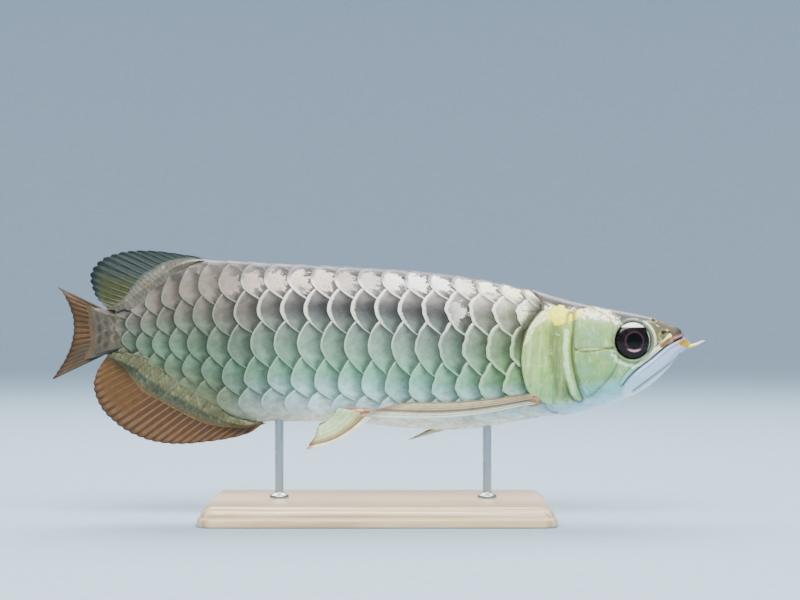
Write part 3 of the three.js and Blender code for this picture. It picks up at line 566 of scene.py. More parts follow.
def scale_rows():
    """Points and values of every scale, row by row, as arrays of two like grids for each scale."""
    rows, step, reach, rise, sunk = (SCALE[key] for key in ("rows", "step", "reach", "rise", "sunk"))
    crossing = (1 - reach) / reach
    square = crossing**2
    keelward = (step + square * (1 - step)) / (1 - square**2)
    backward = 1 - step + square * keelward
    across, forward = grid(np.linspace(-SCALE_HALF, SCALE_HALF, SCALE_ACROSS), SCALE_FORWARD)
    front = np.clip(forward / np.clip((1 - np.abs(across)) / (1 - crossing), 0.05, 1), 0, 1.4)
    bent = 1 - 0.35 * np.clip(forward, 0, 1)
    lip = np.clip(forward / LIP, 0, 1)
    starts = []
    for row in range(rows):
        stagger = min(row, rows - row) * step
        places = range(math.ceil(SCALE["behind"] - stagger), math.ceil(SCALE["ahead"] - stagger))
        starts += [(row, place + stagger) for place in places]
    made = []
    for row, start in starts:
        tone, turn, jitter = rng.random(), rng.random() * 6.28, rng.normal(size=3)
        is_right = 1 <= row <= KEEL_ROW
        toward_keel = np.where(across > 0, row < KEEL_ROW, not is_right)
        wave = 0.008 * np.sin(7 * across + turn) + 0.005 * np.sin(17 * across + 2 * turn)
        wave *= 1 + 3 * ramp(13, 17, start)
        bend = np.where(toward_keel, keelward, backward) * across**2 * bent
        x = scale_x(start + bend + forward + wave * (1 - forward))
        turned = (row + across * reach * (1 - 0.06 * forward)) % rows
        share = row_share(np.minimum(turned, rows - turned), x)
        base, normal = form.at(np.maximum(x, TAIL_END), np.where(turned <= KEEL_ROW, share, 2 - share))
        near_head = base[..., 0].max() > HEAD_START
        depth = head_depth(base[..., 0], base[..., 2]) if near_head else np.full(x.shape, FAR_FROM_HEAD)
        if depth.min() > HIDDEN_DEPTH or x.min() > LAST_SCALE or x.min() < FIRST_SCALE:
            continue
        edge = 1 - 0.588 * across**2 - 0.312 * across**4
        fall = 1 - 0.76 * forward - 0.24 * forward**2
        size = 0.55 + 0.45 * ramp(-170, -130, x)
        top = rise * SCALE["flat"].get(row, 1) * (1 + 0.07 * jitter[0]) * edge * fall * size - sunk
        ripple = 0.12 * np.sin(3.0 * across + turn) * (1 - forward) * forward
        top += 0.10 * jitter[1] * across * (1 - forward) + ripple
        top -= 0.2 * np.clip(1 - forward / LIP, 0, 1) ** 2
        top -= 4.0 * ramp(-0.9, 1.6, depth)
        top -= 2.2 * ramp(-163, -171, x)
        thick = SCALE_THICK * size * (0.55 + 0.45 * lip)
        points = [base + normal * (top - drop)[..., None] for drop in (0, thick)]
        length = SCALE["shortest"] + (SCALE["longest"] - SCALE["shortest"]) * ramp(-160, -77, x)
        away = forward * length
        lateral = across * (15 if is_right or row == 0 else -15)
        spot = np.stack([lateral, away, np.full_like(away, 40 * tone)], -1)
        made.append({
            "points": np.stack(points).reshape(-1, 3),
            "values": {
                "share": both(share),
                "edge": np.concatenate([away.ravel(), np.zeros(away.size)]),
                "front": both(front),
                "tone": both(np.full_like(away, tone)),
                "gap": both(-np.clip(depth, FAR_FROM_HEAD, 0)),
                "lane": both(np.full_like(away, min(row, rows - row))),
                "spot": np.tile(spot.reshape(-1, 3), (2, 1)),
            },
            "place": start,
            "row": row,
        })
    return made


def scales():
    """The large scales, in one piece for each flank and one for back and keel."""
    made = scale_rows()
    faces, spots = shell_faces(SCALE_ACROSS, len(SCALE_FORWARD))
    first, last = SCALE["behind"] - 1, SCALE["ahead"] + 5
    cell = np.array([1 / (last - first), 1 / SCALE["rows"]])
    shell = 2 * SCALE_ACROSS * len(SCALE_FORWARD)
    material = scale_material()
    for name, rows in SCALE_PIECES.items():
        chosen = [scale for scale in made if scale["row"] in rows]
        quads = np.vstack([faces + shell * i for i in range(len(chosen))])
        islands = np.vstack([
            (spots[..., ::-1] * ISLAND + [scale["place"] - first, scale["row"]]) * cell for scale in chosen
        ])
        values = {
            key: np.concatenate([scale["values"][key] for scale in chosen]) for key in chosen[0]["values"]
        }
        points = np.vstack([scale["points"] for scale in chosen])
        make_piece(name, points, [(quads, islands)], material, "scales", values)


def shade(code):
    """Linear colour of a six-digit sRGB one."""
    channels = [int(code[i : i + 2], 16) / 255 for i in (0, 2, 4)]
    return tuple(c / 12.92 if c <= 0.04045 else ((c + 0.055) / 1.055) ** 2.4 for c in channels) + (1.0,)


class Surface:
    """Node material: small helpers that add a node and return its output."""

    def __init__(self, name, **uniform):
        self.material = bpy.data.materials.new(name)
        self.material.use_nodes = True
        self.tree = self.material.node_tree
        self.shader = self.tree.nodes["Principled BSDF"]
        for key, value in uniform.items():
            self.shader.inputs[key.replace("_", " ")].default_value = value

    def add(self, kind, settings=None, **inputs):
        node = self.tree.nodes.new(f"ShaderNode{kind}")
        for key, value in (settings or {}).items():
            setattr(node, key, value)
        for key, value in inputs.items():
            self.put(node.inputs[int(key[1:]) if key in ("i0", "i1") else key], value)
        return node

    def put(self, socket_shade, value):
        if isinstance(value, bpy.types.NodeSocket):
            self.tree.links.new(value, socket_shade)
        else:
            socket_shade.default_value = value

    def value(self, name, output="Fac"):
        return self.add("Attribute", {"attribute_name": name}).outputs[output]

    def place(self):
        return self.add("TexCoord").outputs["Object"]

    def axis(self, name):
        return self.add("SeparateXYZ", Vector=self.place()).outputs[name]

    def math(self, operation, a, b):
        return self.add("Math", {"operation": operation}, i0=a, i1=b).outputs[0]

    def times(self, first, *others):
        for other in others:
            first = self.math("MULTIPLY", first, other)
        return first

    def plus(self, a, b):
        return self.math("ADD", a, b)

    def span(self, value, low, high, to_low=0.0, to_high=1.0):
        """Smooth step of a value from low to high; high may be the smaller one."""
        if low > high:
            low, high, to_low, to_high = high, low, to_high, to_low
        node = self.add("MapRange", {"interpolation_type": "SMOOTHSTEP"}, i0=value)
        for key, number in enumerate((low, high, to_low, to_high), 1):
            node.inputs[key].default_value = number
        return node.outputs[0]

    def between(self, value, low, first, second, high):
        """1 from first to second, and 0 below low and above high."""
        return self.times(self.span(value, low, first), self.span(value, high, second))

    def mix(self, share, a, b, blend="MIX"):
        node = self.add("Mix", {"data_type": "RGBA", "blend_type": blend})
        self.put(node.inputs["Factor"], share)
        for key, colour in ((6, a), (7, b)):
            self.put(node.inputs[key], shade(colour) if isinstance(colour, str) else colour)
        return node.outputs[2]

    def spread(self, value, low, high, a, b):
        """Two colours, parted where a value rises from low to high."""
        return self.mix(self.span(value, low, high), a, b)

    def darkened(self, share, colour, stain_and_shade):
        """Colour with a share of it multiplied by a darker colour: stains, and the painted shade on the
        scales.
        """
        return self.mix(share, colour, self.mix(1.0, colour, stain_and_shade, "MULTIPLY"))

    def layered(self, colour, *layers):
        """Colour under layers laid over it in turn, each as its mask and its colour."""
        for mask, top in layers:
            colour = self.mix(mask, colour, top)
        return colour

    def colours(self, value, stops):
        """Smooth colour ramp over a value, from the colour at each place from 0 to 1."""
        node = self.add("ValToRGB", Fac=value)
        node.color_ramp.interpolation = "EASE"
        elements = node.color_ramp.elements
        while len(elements) < len(stops):
            elements.new(0.5)
        for element, (at, code) in zip(elements, stops.items()):
            element.position = at
            element.color = shade(code)
        return node.outputs["Color"]

    def noise(self, where, scale, detail=3.0, rough=0.55):
        node = self.add("TexNoise", Vector=where, Scale=scale, Detail=detail, Roughness=rough)
        return node.outputs["Fac"]

    def streaks(self, where, scale, detail, rough=0.55, start=(0, 0, 0)):
        """Noise with its own scale on each axis."""
        stretched = self.add("Mapping", Vector=where, Scale=scale, Location=start).outputs[0]
        return self.noise(stretched, 1.0, detail, rough)

    def bands(self, where, axis, scale, distortion, detail):
        node = self.add(
            "TexWave", {"wave_type": "BANDS", "bands_direction": axis},
            Vector=where, Scale=scale, Distortion=distortion, Detail=detail,
        )
        return node.outputs["Fac"]

    def finish(self, colour, roughness, height=None, depth=0.0, strength=0.0):
        """The material with its colour and roughness, and relief where there is a height."""
        self.put(self.shader.inputs["Base Color"], colour)
        self.put(self.shader.inputs["Roughness"], roughness)
        if height is not None:
            node = self.add("Bump", Height=height, Distance=depth, Strength=strength)
            self.put(self.shader.inputs["Normal"], node.outputs["Normal"])
        return self.material


# Colours of the flank from back (0) to keel (1), each with the stretch in x, in metres, where it takes
# over from the one behind it. The first is the tail stalk's.
FLANK_COLOURS = [
    (None, {0: "55524e", 0.15: "625d57", 0.5: "625e54", 0.75: "64664e", 0.9: "7c7754", 1: "988f68"}),
    ((-0.168, -0.13), {
        0: "5c5753", 0.1: "766c66", 0.2: "877a6e", 0.36: "756f61", 0.5: "677661", 0.68: "678568",
        0.84: "727e5c", 1: "929474",
    }),
    ((-0.1, -0.03), {
        0: "504d56", 0.12: "635f67", 0.18: "aaa19b", 0.31: "5d5a59", 0.42: "7e8b80", 0.53: "8fad95",
        0.66: "86bd9c", 0.78: "bfeeee", 0.88: "ddf7ff", 1: "eefbff",
    }),
    ((0.03, 0.085), {
        0: "514d53", 0.1: "66615f", 0.17: "d8d3bf", 0.33: "91947a", 0.5: "768f60", 0.66: "7aa36a",
        0.78: "b4e2d2", 0.88: "d4f3fd", 1: "e8f9ff",
    }),
]
# Head, snout, gill cover and scale rims from back to keel, and the eye from its middle to its edge.
HEAD_COLOURS = {
    0: "77757c", 0.1: "7b7a7c", 0.17: "8e9070", 0.32: "9ab272", 0.5: "8fb070", 0.66: "8ab67c",
    0.78: "90cfc8", 0.88: "b8e6f4", 1: "d0f1fc",
}
SNOUT_COLOURS = {0: "4f4944", 0.2: "554e3a", 0.38: "6c6a42", 0.6: "7c947c", 0.8: "94c4da", 1: "bfe2f0"}
COVER_COLOURS = {
    0: "8f8a86", 0.12: "a8a48c", 0.2: "b8be7c", 0.3: "a9bc62", 0.45: "93b05c", 0.62: "94bf66",
    0.78: "94cc84", 0.9: "bfe8ea", 1: "d4f3f8",
}
RIM_COLOURS = {
    0: "5c585d", 0.13: "716c6d", 0.18: "efe6da", 0.33: "eae6d4", 0.46: "b3c0a5", 0.6: "9abb9a",
    0.75: "a2caae", 0.88: "c4e6ea", 1: "e2f6fc",
}
IRIS_COLOURS = {
    0: "010101", 0.43: "010101", 0.46: "261517", 0.5: "3c2327", 0.55: "241315", 0.61: "0c0707",
    0.75: "090706", 0.93: "060505", 1: "030303",
}


def body_colour(s, share):
    """Markings that skin and scales share."""
    x = s.axis("X")
    (_, stops), *others = FLANK_COLOURS
    colour = s.colours(share, stops)
    return s.layered(colour, *((s.span(x, *stretch), s.colours(share, stops)) for stretch, stops in others))


def skin_material():
    """Bare skin of head and gill covers, and the dull skin under the scales."""
    s = Surface(
        "fish_skin", Coat_Weight=0.12, Coat_Roughness=0.16, Subsurface_Weight=0.08, Subsurface_Scale=0.003,
        Specular_IOR_Level=0.2,
    )
    place, share, bare = s.place(), s.value("share"), s.value("bare")
    x, z = s.axis("X"), s.axis("Z")
    fine = s.noise(place, 900, 4)
    blotch = s.noise(place, 160, 4, 0.6)
    flecks = s.noise(place, 420, 5, 0.7)
    cloud = s.noise(place, 90, 3)
    rough_edge = s.plus(s.noise(place, 300, 5, 0.7), -0.5)
    upright = s.streaks(place, (240, 1, 26), 4, start=(7.3, 0, 2.1))
    wrinkle = s.streaks(place, (330, 1, 150), 5, 0.65, (1.7, 0, 3.4))
    mottle, jaw_mask = s.value("mottle"), s.value("jaw")
    high = s.span(share, 0.82, 0.68)

    def torn(name, strength=1.6, low=0.38, high=0.62, most=1.0):
        """Mask of a marking with an irregular edge."""
        return s.span(s.plus(s.value(name), s.times(rough_edge, strength)), low, high, 0.0, most)

    cover = s.layered(
        s.colours(share, COVER_COLOURS),
        (s.span(x, 0.098, 0.088, 0.0, 0.5), "b3d08a"),
        (torn("dark_band", 0.9, 0.2, 0.9, 0.7), "56643a"),
        (s.span(upright, 0.47, 0.7, 0.0, 0.6), "66774a"),
        (s.span(upright, 0.5, 0.34, 0.0, 0.4), "cfdc9c"),
        (torn("crest", 1.1), s.spread(flecks, 0.42, 0.55, "d6dc98", "f2f9bc")),
    )
    plate = s.layered(
        s.spread(s.noise(place, 240, 3), 0.45, 0.7, "78a264", "a4b864"),
        (s.span(s.noise(place, 130, 2), 0.5, 0.64, 0.0, 0.7), "6fa487"),
    )
    crown = s.spread(x, 0.156, 0.166, s.spread(blotch, 0.4, 0.6, "39353a", "4b4744"), "544b3b")
    jaw = s.spread(share, 0.75, 0.95, s.spread(z, 0.105, 0.085, "bfc4ea", "c8e4f6"), "f0f9fd")
    lip = s.spread(x, 0.170, 0.181, "75503a", s.spread(z, 0.1085, 0.1065, "985a58", "b28a2f"))
    upper_jaw = s.spread(x, 0.163, 0.17, "86bccb", "ece4a8")
    head = s.colours(share, HEAD_COLOURS)
    head = s.mix(s.span(x, 0.152, 0.168), head, s.colours(share, SNOUT_COLOURS))
    head = s.layered(
        s.darkened(s.span(cloud, 0.4, 0.65, 0.0, 0.35), head, "b9c7a0"),
        (s.value("cover"), cover),
        (s.times(s.value("plate"), s.span(share, 0.75, 0.6, 0.0, 0.6)), plate),
        (s.times(high, s.span(wrinkle, 0.54, 0.66, 0.0, 0.5)), "74884c"),
        (s.times(high, s.span(wrinkle, 0.44, 0.34, 0.0, 0.5)), "d3e2ac"),
        (torn("pale_strip", 2.6, most=0.8), "cdf0b8"),
        (torn("streak", 2.0, 0.3, 0.9, 0.6), "8d8a34"),
        (torn("crown", 0.9), crown),
        (s.times(mottle, s.span(flecks, 0.52, 0.58)), "f4f0cc"),
        (s.times(mottle, s.span(flecks, 0.46, 0.4)), "4a4230"),
        (torn("pale", 2.6, 0.3, 0.8, 0.92), s.spread(flecks, 0.44, 0.53, "a8a76a", "faf8e0")),
        (torn("yellow", 2.4, 0.35, 0.65), s.spread(flecks, 0.4, 0.6, "fffa52", "ece430")),
        (jaw_mask, jaw),
        (s.times(s.value("maxilla"), s.span(x, 0.15, 0.168, 0.5)), upper_jaw),
        (torn("rust", 1.4, 0.4, 0.7, 0.9), s.spread(flecks, 0.42, 0.58, "8a5a30", "5c2c1a")),
        (torn("snout_streak", 0.7, 0.25, 0.5), "f4f0b4"),
        (torn("chin", 1.0), s.spread(flecks, 0.42, 0.6, "c08a1c", "d6b030")),
        (torn("crescent", 0.6, most=0.9), "dfe0c0"),
        (torn("under_eye", 3.2, 0.5, 0.8, 0.8), "dff0cc"),
        (s.times(s.value("orbit"), 0.55), "5f6350"),
        (s.times(s.span(x, 0.1775, 0.182), s.span(z, 0.1085, 0.111), 0.9), "2c2826"),
        (s.value("lip"), lip),
        # dark lines: real dark joints of the plates, and painted shade in the jaw fold and the mouth's slit
        (s.times(s.value("joint_and_crease_shade"), 0.8), s.mix(jaw_mask, "3a310c", "5c6a74")),
        # painted shade: dark brown in the hollows of the nostrils
        (s.value("nostril_shade"), "46321e"),
        # painted shade: near-black skin at the rim of the eye socket, round the eyeball
        (s.value("socket_shade"), "100d0d"),
    )
    colour = s.layered(
        s.mix(0.35, body_colour(s, share), "514f4a"),
        (bare, head),
        # painted shade: a dark band in the fold where the bare skin of head and gill covers meets the
        # scaled skin
        (s.times(s.between(bare, 0.0, 0.3, 0.6, 1.0), 0.75), "34302b"),
    )
    colour = s.darkened(s.span(blotch, 0.35, 0.75, 0.0, 0.22), colour, "b0aa98")
    colour = s.darkened(s.span(fine, 0.5, 0.72, 0.0, 0.25), colour, "8f8d80")
    height = s.plus(s.times(fine, 0.5), blotch)
    return s.finish(colour, s.span(fine, 0.3, 0.7, 0.3, 0.46), height, 0.00035, 0.5)


def scale_material():
    """Large scales: dark or pale field, pale rim, glints in the upper rows, and painted shade at the fronts
    and behind the gill cover.
    """
    s = Surface("fish_scales", Coat_Weight=0.15, Coat_Roughness=0.12, Metallic=0.15, Specular_IOR_Level=0.2)
    keys = ("share", "edge", "front", "gap", "tone", "lane")
    share, edge, front, gap, tone, lane = (s.value(key) for key in keys)
    spot = s.value("spot", "Vector")
    x = s.axis("X")
    cloud = s.noise(spot, 0.22, 4, 0.6)
    mottle = s.noise(spot, 0.9, 4, 0.65)
    field = s.darkened(s.span(cloud, 0.35, 0.7, 0.0, 0.45), body_colour(s, share), "9a9c98")
    field = s.darkened(s.span(tone, 0.0, 1.0, 0.0, 0.35), field, "b4aea6")
    shadow = s.times(s.span(front, 0.3, 1.0, 0.0, 0.8), s.span(share, 0.93, 0.78))
    field = s.darkened(shadow, field, "666a66")
    centre = s.add("CombineXYZ", X=1.2, Y=5.6, Z=s.times(tone, 40)).outputs[0]
    from_centre = s.add("VectorMath", {"operation": "DISTANCE"}, i0=spot, i1=centre).outputs["Value"]
    ragged = s.plus(from_centre, s.span(cloud, 0.3, 0.7, -3.0, 3.0))
    ragged = s.plus(ragged, s.span(mottle, 0.3, 0.7, -1.3, 1.3))
    first_row = s.times(s.between(lane, 0.4, 0.6, 1.4, 1.6), s.span(x, -0.11, -0.04))
    first_row = s.times(first_row, s.span(ragged, 8.6, 6.4), s.span(share, 0.07, 0.1))
    second_row = s.times(s.between(lane, 1.4, 1.6, 2.4, 2.6), s.span(x, 0.035, 0.06))
    second_row = s.times(second_row, s.span(tone, 0.35, 0.45), s.span(ragged, 7.4, 5.2))
    glint = s.math("MAXIMUM", first_row, second_row)
    glint_colour = s.layered(
        s.spread(mottle, 0.4, 0.6, "dcc9b6", "bfa795"),
        (s.span(x, -0.03, 0.03), s.spread(mottle, 0.45, 0.6, "fdf9f5", "e6dad4")),
        (s.span(x, 0.04, 0.075), s.spread(mottle, 0.42, 0.6, "f6f3cf", "d8d2a8")),
    )
    rim = s.layered(
        s.colours(share, RIM_COLOURS),
        (s.span(x, -0.04, -0.11, 0.0, 0.94), "676f57"),
        (s.times(s.span(x, 0.05, 0.08), s.span(share, 0.25, 0.4, 0.0, 0.8)), "b4cd92"),
    )
    wide = s.times(s.span(share, 0.45, 0.36), s.span(x, -0.12, -0.05))
    wide = s.math("MAXIMUM", wide, s.span(x, 0.01, 0.06))
    inward = s.times(edge, s.span(wide, 0.0, 1.0, 1.0, 0.52))
    inward = s.plus(inward, s.span(mottle, 0.3, 0.7, -0.25, 0.25))
    # Painted shade: a dark band on the scales just behind the gill cover's edge, where they run under it.
    shade_behind_cover = s.span(s.plus(gap, s.span(mottle, 0.3, 0.7, -1, 1)), 7.0, 3.0)
    field = s.layered(
        field,
        (s.times(glint, s.span(tone, 0.0, 0.25, 0.55)), glint_colour),
        (s.times(s.span(inward, 1.5, 0.75), s.span(share, 1.0, 0.8, 0.25, 0.9)), rim),
        (s.times(shade_behind_cover, s.span(share, 0.12, 0.18), s.span(share, 0.56, 0.4, 0.0, 0.92)), "353626"),
    )
    colour = s.darkened(s.span(mottle, 0.5, 0.75, 0.0, 0.2), field, "a09f90")
    ring, rays = s.bands(spot, "Y", 1.6, 1.2, 1.0), s.bands(spot, "X", 0.55, 2.5, 2.0)
    height = s.plus(s.plus(s.times(ring, 0.35), s.times(rays, 0.45)), mottle)
    return s.finish(colour, s.span(mottle, 0.3, 0.7, 0.24, 0.42), height, 0.00022, 0.45)


def flesh_material(name, tint):
    """Scaled flesh over the root of an unpaired fin, which takes the fin's colour at its top."""
    s = Surface(name, Coat_Weight=0.12, Coat_Roughness=0.15, Specular_IOR_Level=0.2)
    place, edge = s.place(), s.value("edge")
    blotch = s.noise(place, 420, 3)
    colour = s.colours(s.value("tone"), dict(zip((0, 0.35, 0.7, 1), tint)))
    colour = s.mix(s.span(edge, 0.8, 0.2, 0.0, 0.45), colour, tint[3])
    colour = s.darkened(s.span(edge, 1.4, 3.0, 0.0, 0.6), colour, "8a887c")
    colour = s.darkened(s.span(s.noise(place, 110, 3), 0.4, 0.65, 0.0, 0.5), colour, "b4ac98")
    colour = s.darkened(s.span(blotch, 0.5, 0.75, 0.0, 0.4), colour, "8c8270")
    colour = s.mix(s.span(s.value("up"), 0.5, 1.1, 0.0, 0.85), colour, tint[4])
    return s.finish(colour, s.span(blotch, 0.3, 0.7, 0.28, 0.44), blotch, 0.0002, 0.4)


def fin_material(name, ray, web, rear, tip, bands=None):
    """Membrane between darker or lighter rays, with its own colour at the rear root and at the edge.

    Bands, where there are any, colour the fin from its first ray to its last.
    """
    s = Surface(f"{name}_fin", Coat_Weight=0.1, Coat_Roughness=0.25, Specular_IOR_Level=0.2)
    along, count, ridge, run = (s.value(key) for key in ("along", "count", "ray", "run"))
    place = s.place()
    patch = s.noise(place, 260, 4)
    colour = s.spread(ridge, 0.0, 0.7, web, ray)
    if bands:
        colour = s.mix(0.8, colour, s.colours(count, bands))
    else:
        cloud = s.plus(s.noise(place, 70, 2), -0.5)
        back = s.plus(s.times(s.span(count, 0.45, 0.75), s.span(along, 0.98, 0.7)), cloud)
        colour = s.mix(s.span(back, 0.2, 0.9, 0.0, 0.8), colour, rear)
    colour = s.mix(s.span(along, 0.86, 1.0, 0.0, 0.7), colour, tip)
    colour = s.darkened(s.span(patch, 0.4, 0.75, 0.0, 0.3), colour, "8c8478")
    joints = s.math("SINE", s.times(run, 5.5), 0.0)
    height = s.plus(s.times(joints, ridge, 0.4), patch)
    return s.finish(colour, s.span(patch, 0.3, 0.7, 0.34, 0.5), height, 0.00025, 0.5)


def fin_root_material():
    """Brown skin of the paired fins' fleshy roots."""
    s = Surface("fin_root_skin", Coat_Weight=0.3, Coat_Roughness=0.2)
    blotch = s.noise(s.place(), 300, 4)
    colour = s.spread(blotch, 0.4, 0.62, "9b7a59", "7a4022")
    return s.finish(colour, s.span(blotch, 0.3, 0.7, 0.32, 0.45), blotch, 0.0003, 0.5)


def eye_material():
    """Black pupil in a dark iris with a pale cap, under a clear cornea; the cap and the ring's bottom are
    partly painted highlights.
    """
    s = Surface("eyeball", Coat_Weight=0.3, Coat_Roughness=0.03, Specular_IOR_Level=0.1)
    radius, up, ahead = (s.value(key) for key in ("radius", "up", "ahead"))
    fibre = s.streaks(s.value("spot", "Vector"), (9, 9, 3), 4)
    iris = s.layered(
        s.colours(radius, IRIS_COLOURS),
        (s.times(s.span(fibre, 0.45, 0.7, 0.0, 0.6), s.span(radius, 0.5, 0.62)), "2a1716"),
        # painted highlight: the pink ring round the pupil paler at its bottom
        (s.times(s.span(up, -0.38, -0.5), s.between(radius, 0.45, 0.49, 0.56, 0.62)), "b98a90"),
        # pale silvery cap at the top of the eye, partly the iris's silver and partly a painted highlight of
        # the lamps overhead
        (s.times(s.span(up, 0.735, 0.775), s.span(radius, 0.72, 0.78)), "e9efef"),
        (s.times(s.span(ahead, 0.72, 0.86), s.span(radius, 0.86, 0.92), 0.8), "a9b6b8"),
    )
    return s.finish(iris, s.span(fibre, 0.3, 0.7, 0.2, 0.3), fibre, 0.0001, 0.3)


def barbel_material():
    """Yellow skin that turns pale mauve toward the tip."""
    s = Surface("barbel_skin", Coat_Weight=0.3, Coat_Roughness=0.2)
    grain = s.noise(s.place(), 900, 3)
    stops = {0: "cfc9a2", 0.2: "dcc24c", 0.5: "e3c955", 0.75: "d8b8b4", 1: "c7a6c8"}
    colour = s.mix(s.span(grain, 0.45, 0.7, 0.0, 0.3), s.colours(s.value("along"), stops), "a07c4a")
    return s.finish(colour, s.span(grain, 0.3, 0.7, 0.32, 0.45), grain, 0.0002, 0.4)


def wood_material():
    """Varnished pale wood with its grain along the base."""
    s = Surface("varnished_wood", Coat_Weight=0.35, Coat_Roughness=0.18)
    stretched = s.add("Mapping", Vector=s.place(), Scale=(9, 95, 60)).outputs[0]
    rings = s.bands(stretched, "Y", 0.55, 5.0, 3.0)
    fibre = s.streaks(s.place(), (40, 900, 900), 4)
    colour = s.colours(rings, {0: "b89c74", 0.45: "ccb48e", 0.8: "dac6a3", 1: "bfa57e"})
    colour = s.mix(s.span(fibre, 0.45, 0.7, 0.0, 0.35), colour, "a88a61")
    height = s.plus(s.times(rings, 0.3), fibre)
    return s.finish(colour, s.span(fibre, 0.3, 0.7, 0.28, 0.42), height, 0.0001, 0.35)


def steel_material():
    """Brushed steel with faint smudges."""
    s = Surface("brushed_steel", Metallic=1.0, Anisotropic=0.4)
    brush = s.streaks(s.place(), (350, 350, 9000), 3)
    smudge = s.noise(s.place(), 60, 3)
    colour = s.spread(brush, 0.35, 0.7, "b9bbbd", "9da0a3")
    rough = s.plus(s.span(brush, 0.3, 0.7, 0.22, 0.34), s.span(smudge, 0.4, 0.7, 0.0, 0.08))
    return s.finish(colour, rough, brush, 0.00004, 0.3)


# Fins of the middle plane: root on the body, top of the scaled flesh over it and free edge, from
# front to back as [x, z]. The rays fan: share of the edge is share of the root to the power of fan.
# Colours are those of ray, web, rear root and tip; tints run over the flesh's scales, then to its top.
FINS = {
    "dorsal": {
        "rays": 17,
        "fan": 0.66,
        "scallop": 1.3,
        "colours": ("131a1b", "363f3a", "3c3f1d", "0f1313"),
        "tints": ("58544a", "5c584e", "625e52", "69645a", "3a4842"),
        "half": 3.6,
        "least": 0.62,
        "flesh": [
            (-101, 156), (-116, 157.4), (-129, 155.2), (-137, 150.8), (-144, 146.4), (-149, 140.6),
            (-153, 135), (-158, 130.6), (-163, 127.4),
        ],
        "root": [
            (-103, 156), (-115, 154.6), (-127, 149), (-137, 141.6), (-145, 135.6), (-152, 131.4),
            (-158, 128.6), (-164, 126.8),
        ],
        "edge": [
            (-104, 157.4), (-118, 159.6), (-137, 162), (-156, 161.2), (-168, 156.6), (-174.6, 148.6),
            (-174, 140.4), (-171, 133.4), (-165.6, 128),
        ],
    },
    "anal": {
        "rays": 25,
        "fan": 0.74,
        "scallop": 0.7,
        "colours": ("6e5033", "4a3321", "5a3f20", "34281d"),
        "tints": ("50533a", "585a40", "62624a", "70704f", "7a5c34"),
        "half": 3.9,
        "least": 0.62,
        "flesh": [
            (-68, 57), (-80, 54.6), (-92, 54.8), (-104, 57.4), (-113, 61), (-125, 67), (-134, 72),
            (-143, 77.4), (-149.4, 85), (-155, 91.4), (-163, 97),
        ],
        "root": [
            (-70, 57.6), (-82, 56.8), (-93, 59.6), (-108, 67), (-122, 74.6), (-136, 83), (-148, 92),
            (-164, 98.2),
        ],
        "edge": [
            (-71, 56), (-78, 51.4), (-87, 48.6), (-104, 45.8), (-124, 44.6), (-142, 47.8), (-158, 56),
            (-169, 68), (-172.6, 80), (-171, 88), (-167, 94.8),
        ],
    },
    "caudal": {  # from top to bottom
        "rays": 16,
        "fan": 1,
        "scallop": 0.5,
        "colours": ("573b1e", "3c2a18", "453a2c", "1b2020"),
        "tints": ("4e483e", "565046", "5f584b", "6a604f", "5a4630"),
        "half": 2.2,
        "least": 1.3,
        "flesh": [
            (-177, 128.6), (-175, 122), (-174, 117), (-173.6, 112.4), (-174, 107.6), (-175, 102.6),
            (-177, 96),
        ],
        "root": [(-165, 126), (-163, 120), (-162, 112.5), (-163, 105), (-165, 99)],
        "edge": [
            (-195, 140.4), (-191.4, 136.4), (-188, 130), (-185.4, 121), (-185, 112), (-187, 102.6),
            (-191, 94.6), (-195, 88), (-198, 83.4),
        ],
    },
}
PELVIC_TIP = [(-36.4, 56, 14.6), (-38.4, 49.4, 18), (-43.4, 42.6, 20)]
# Paired fins: root and tip from back to front as [x, z, distance from the middle]. Bands colour the
# fin from its first ray to its last.
PAIRED_FINS = {
    "pectoral": {
        "rays": 8,
        "colours": ("c2bd9f", "9a7e5e", "a08465", "684435"),
        "bands": {
            0: "645139", 0.07: "524330", 0.14: "a19a7b", 0.5: "9c8f6f", 0.6: "7b6c4e", 0.66: "382f23",
            0.73: "afbda8", 1: "cadccc",
        },
        "root": [(88, 76, 15.6), (91.6, 73.4, 15.6), (93.4, 70, 14.6)],
        "tip": {
            "right": [(18, 71, 19.4), (4, 68.4, 21.4), (-10.8, 62.8, 23)],
            "left": [(44, 57, 21), (31, 52, 23), (17.6, 45, 25)],
        },
        "sag": {"right": (0, 2.4, -4.6), "left": (0, 2.4, -1.6)},
        "base": ((91.4, 72.8, 12.4), (7, 4.2, 4.8)),
    },
    "pelvic": {
        "rays": 6,
        "colours": ("ccd6a6", "a1b387", "adaf83", "76441f"),
        "bands": {
            0: "9eb98f", 0.45: "a7bf8d", 0.62: "aaa971", 0.72: "855528", 0.8: "70441f", 0.86: "dfe1be",
            1: "eaf0d9",
        },
        "root": [(-24.6, 66.4, 11), (-14, 64.4, 11), (-3.8, 61.8, 9.8)],
        "tip": {"right": PELVIC_TIP, "left": PELVIC_TIP},
        "sag": {"right": (1, 1, -4.2), "left": (1, 1, -4.2)},
        "base": ((-14, 64.4, 8), (12.4, 4, 3.4)),
    },
}
RAY_HALF = 0.5
WEB_HALF = 0.15
FIN_COLUMNS = 14  # between one web's middle and the next
FIN_STEPS = 44
FIN_SPLIT = 0.48  # of the map between the two faces of a fin
SIDES = {"right": -1, "left": 1}


def ray_ridge(local, t):
    """Height from 0 to 1 of a branching ray at a place across it, -0.5 to 0.5, and along it."""
    first = 0.14 * ramp(0.38, 0.8, t)
    second = 0.06 * ramp(0.68, 1.0, t)
    width = 0.13 - 0.065 * t
    branches = [bump(local - one * first - two * second, width) for one in (-1, 1) for two in (-1, 1)]
    return np.maximum.reduce(branches)


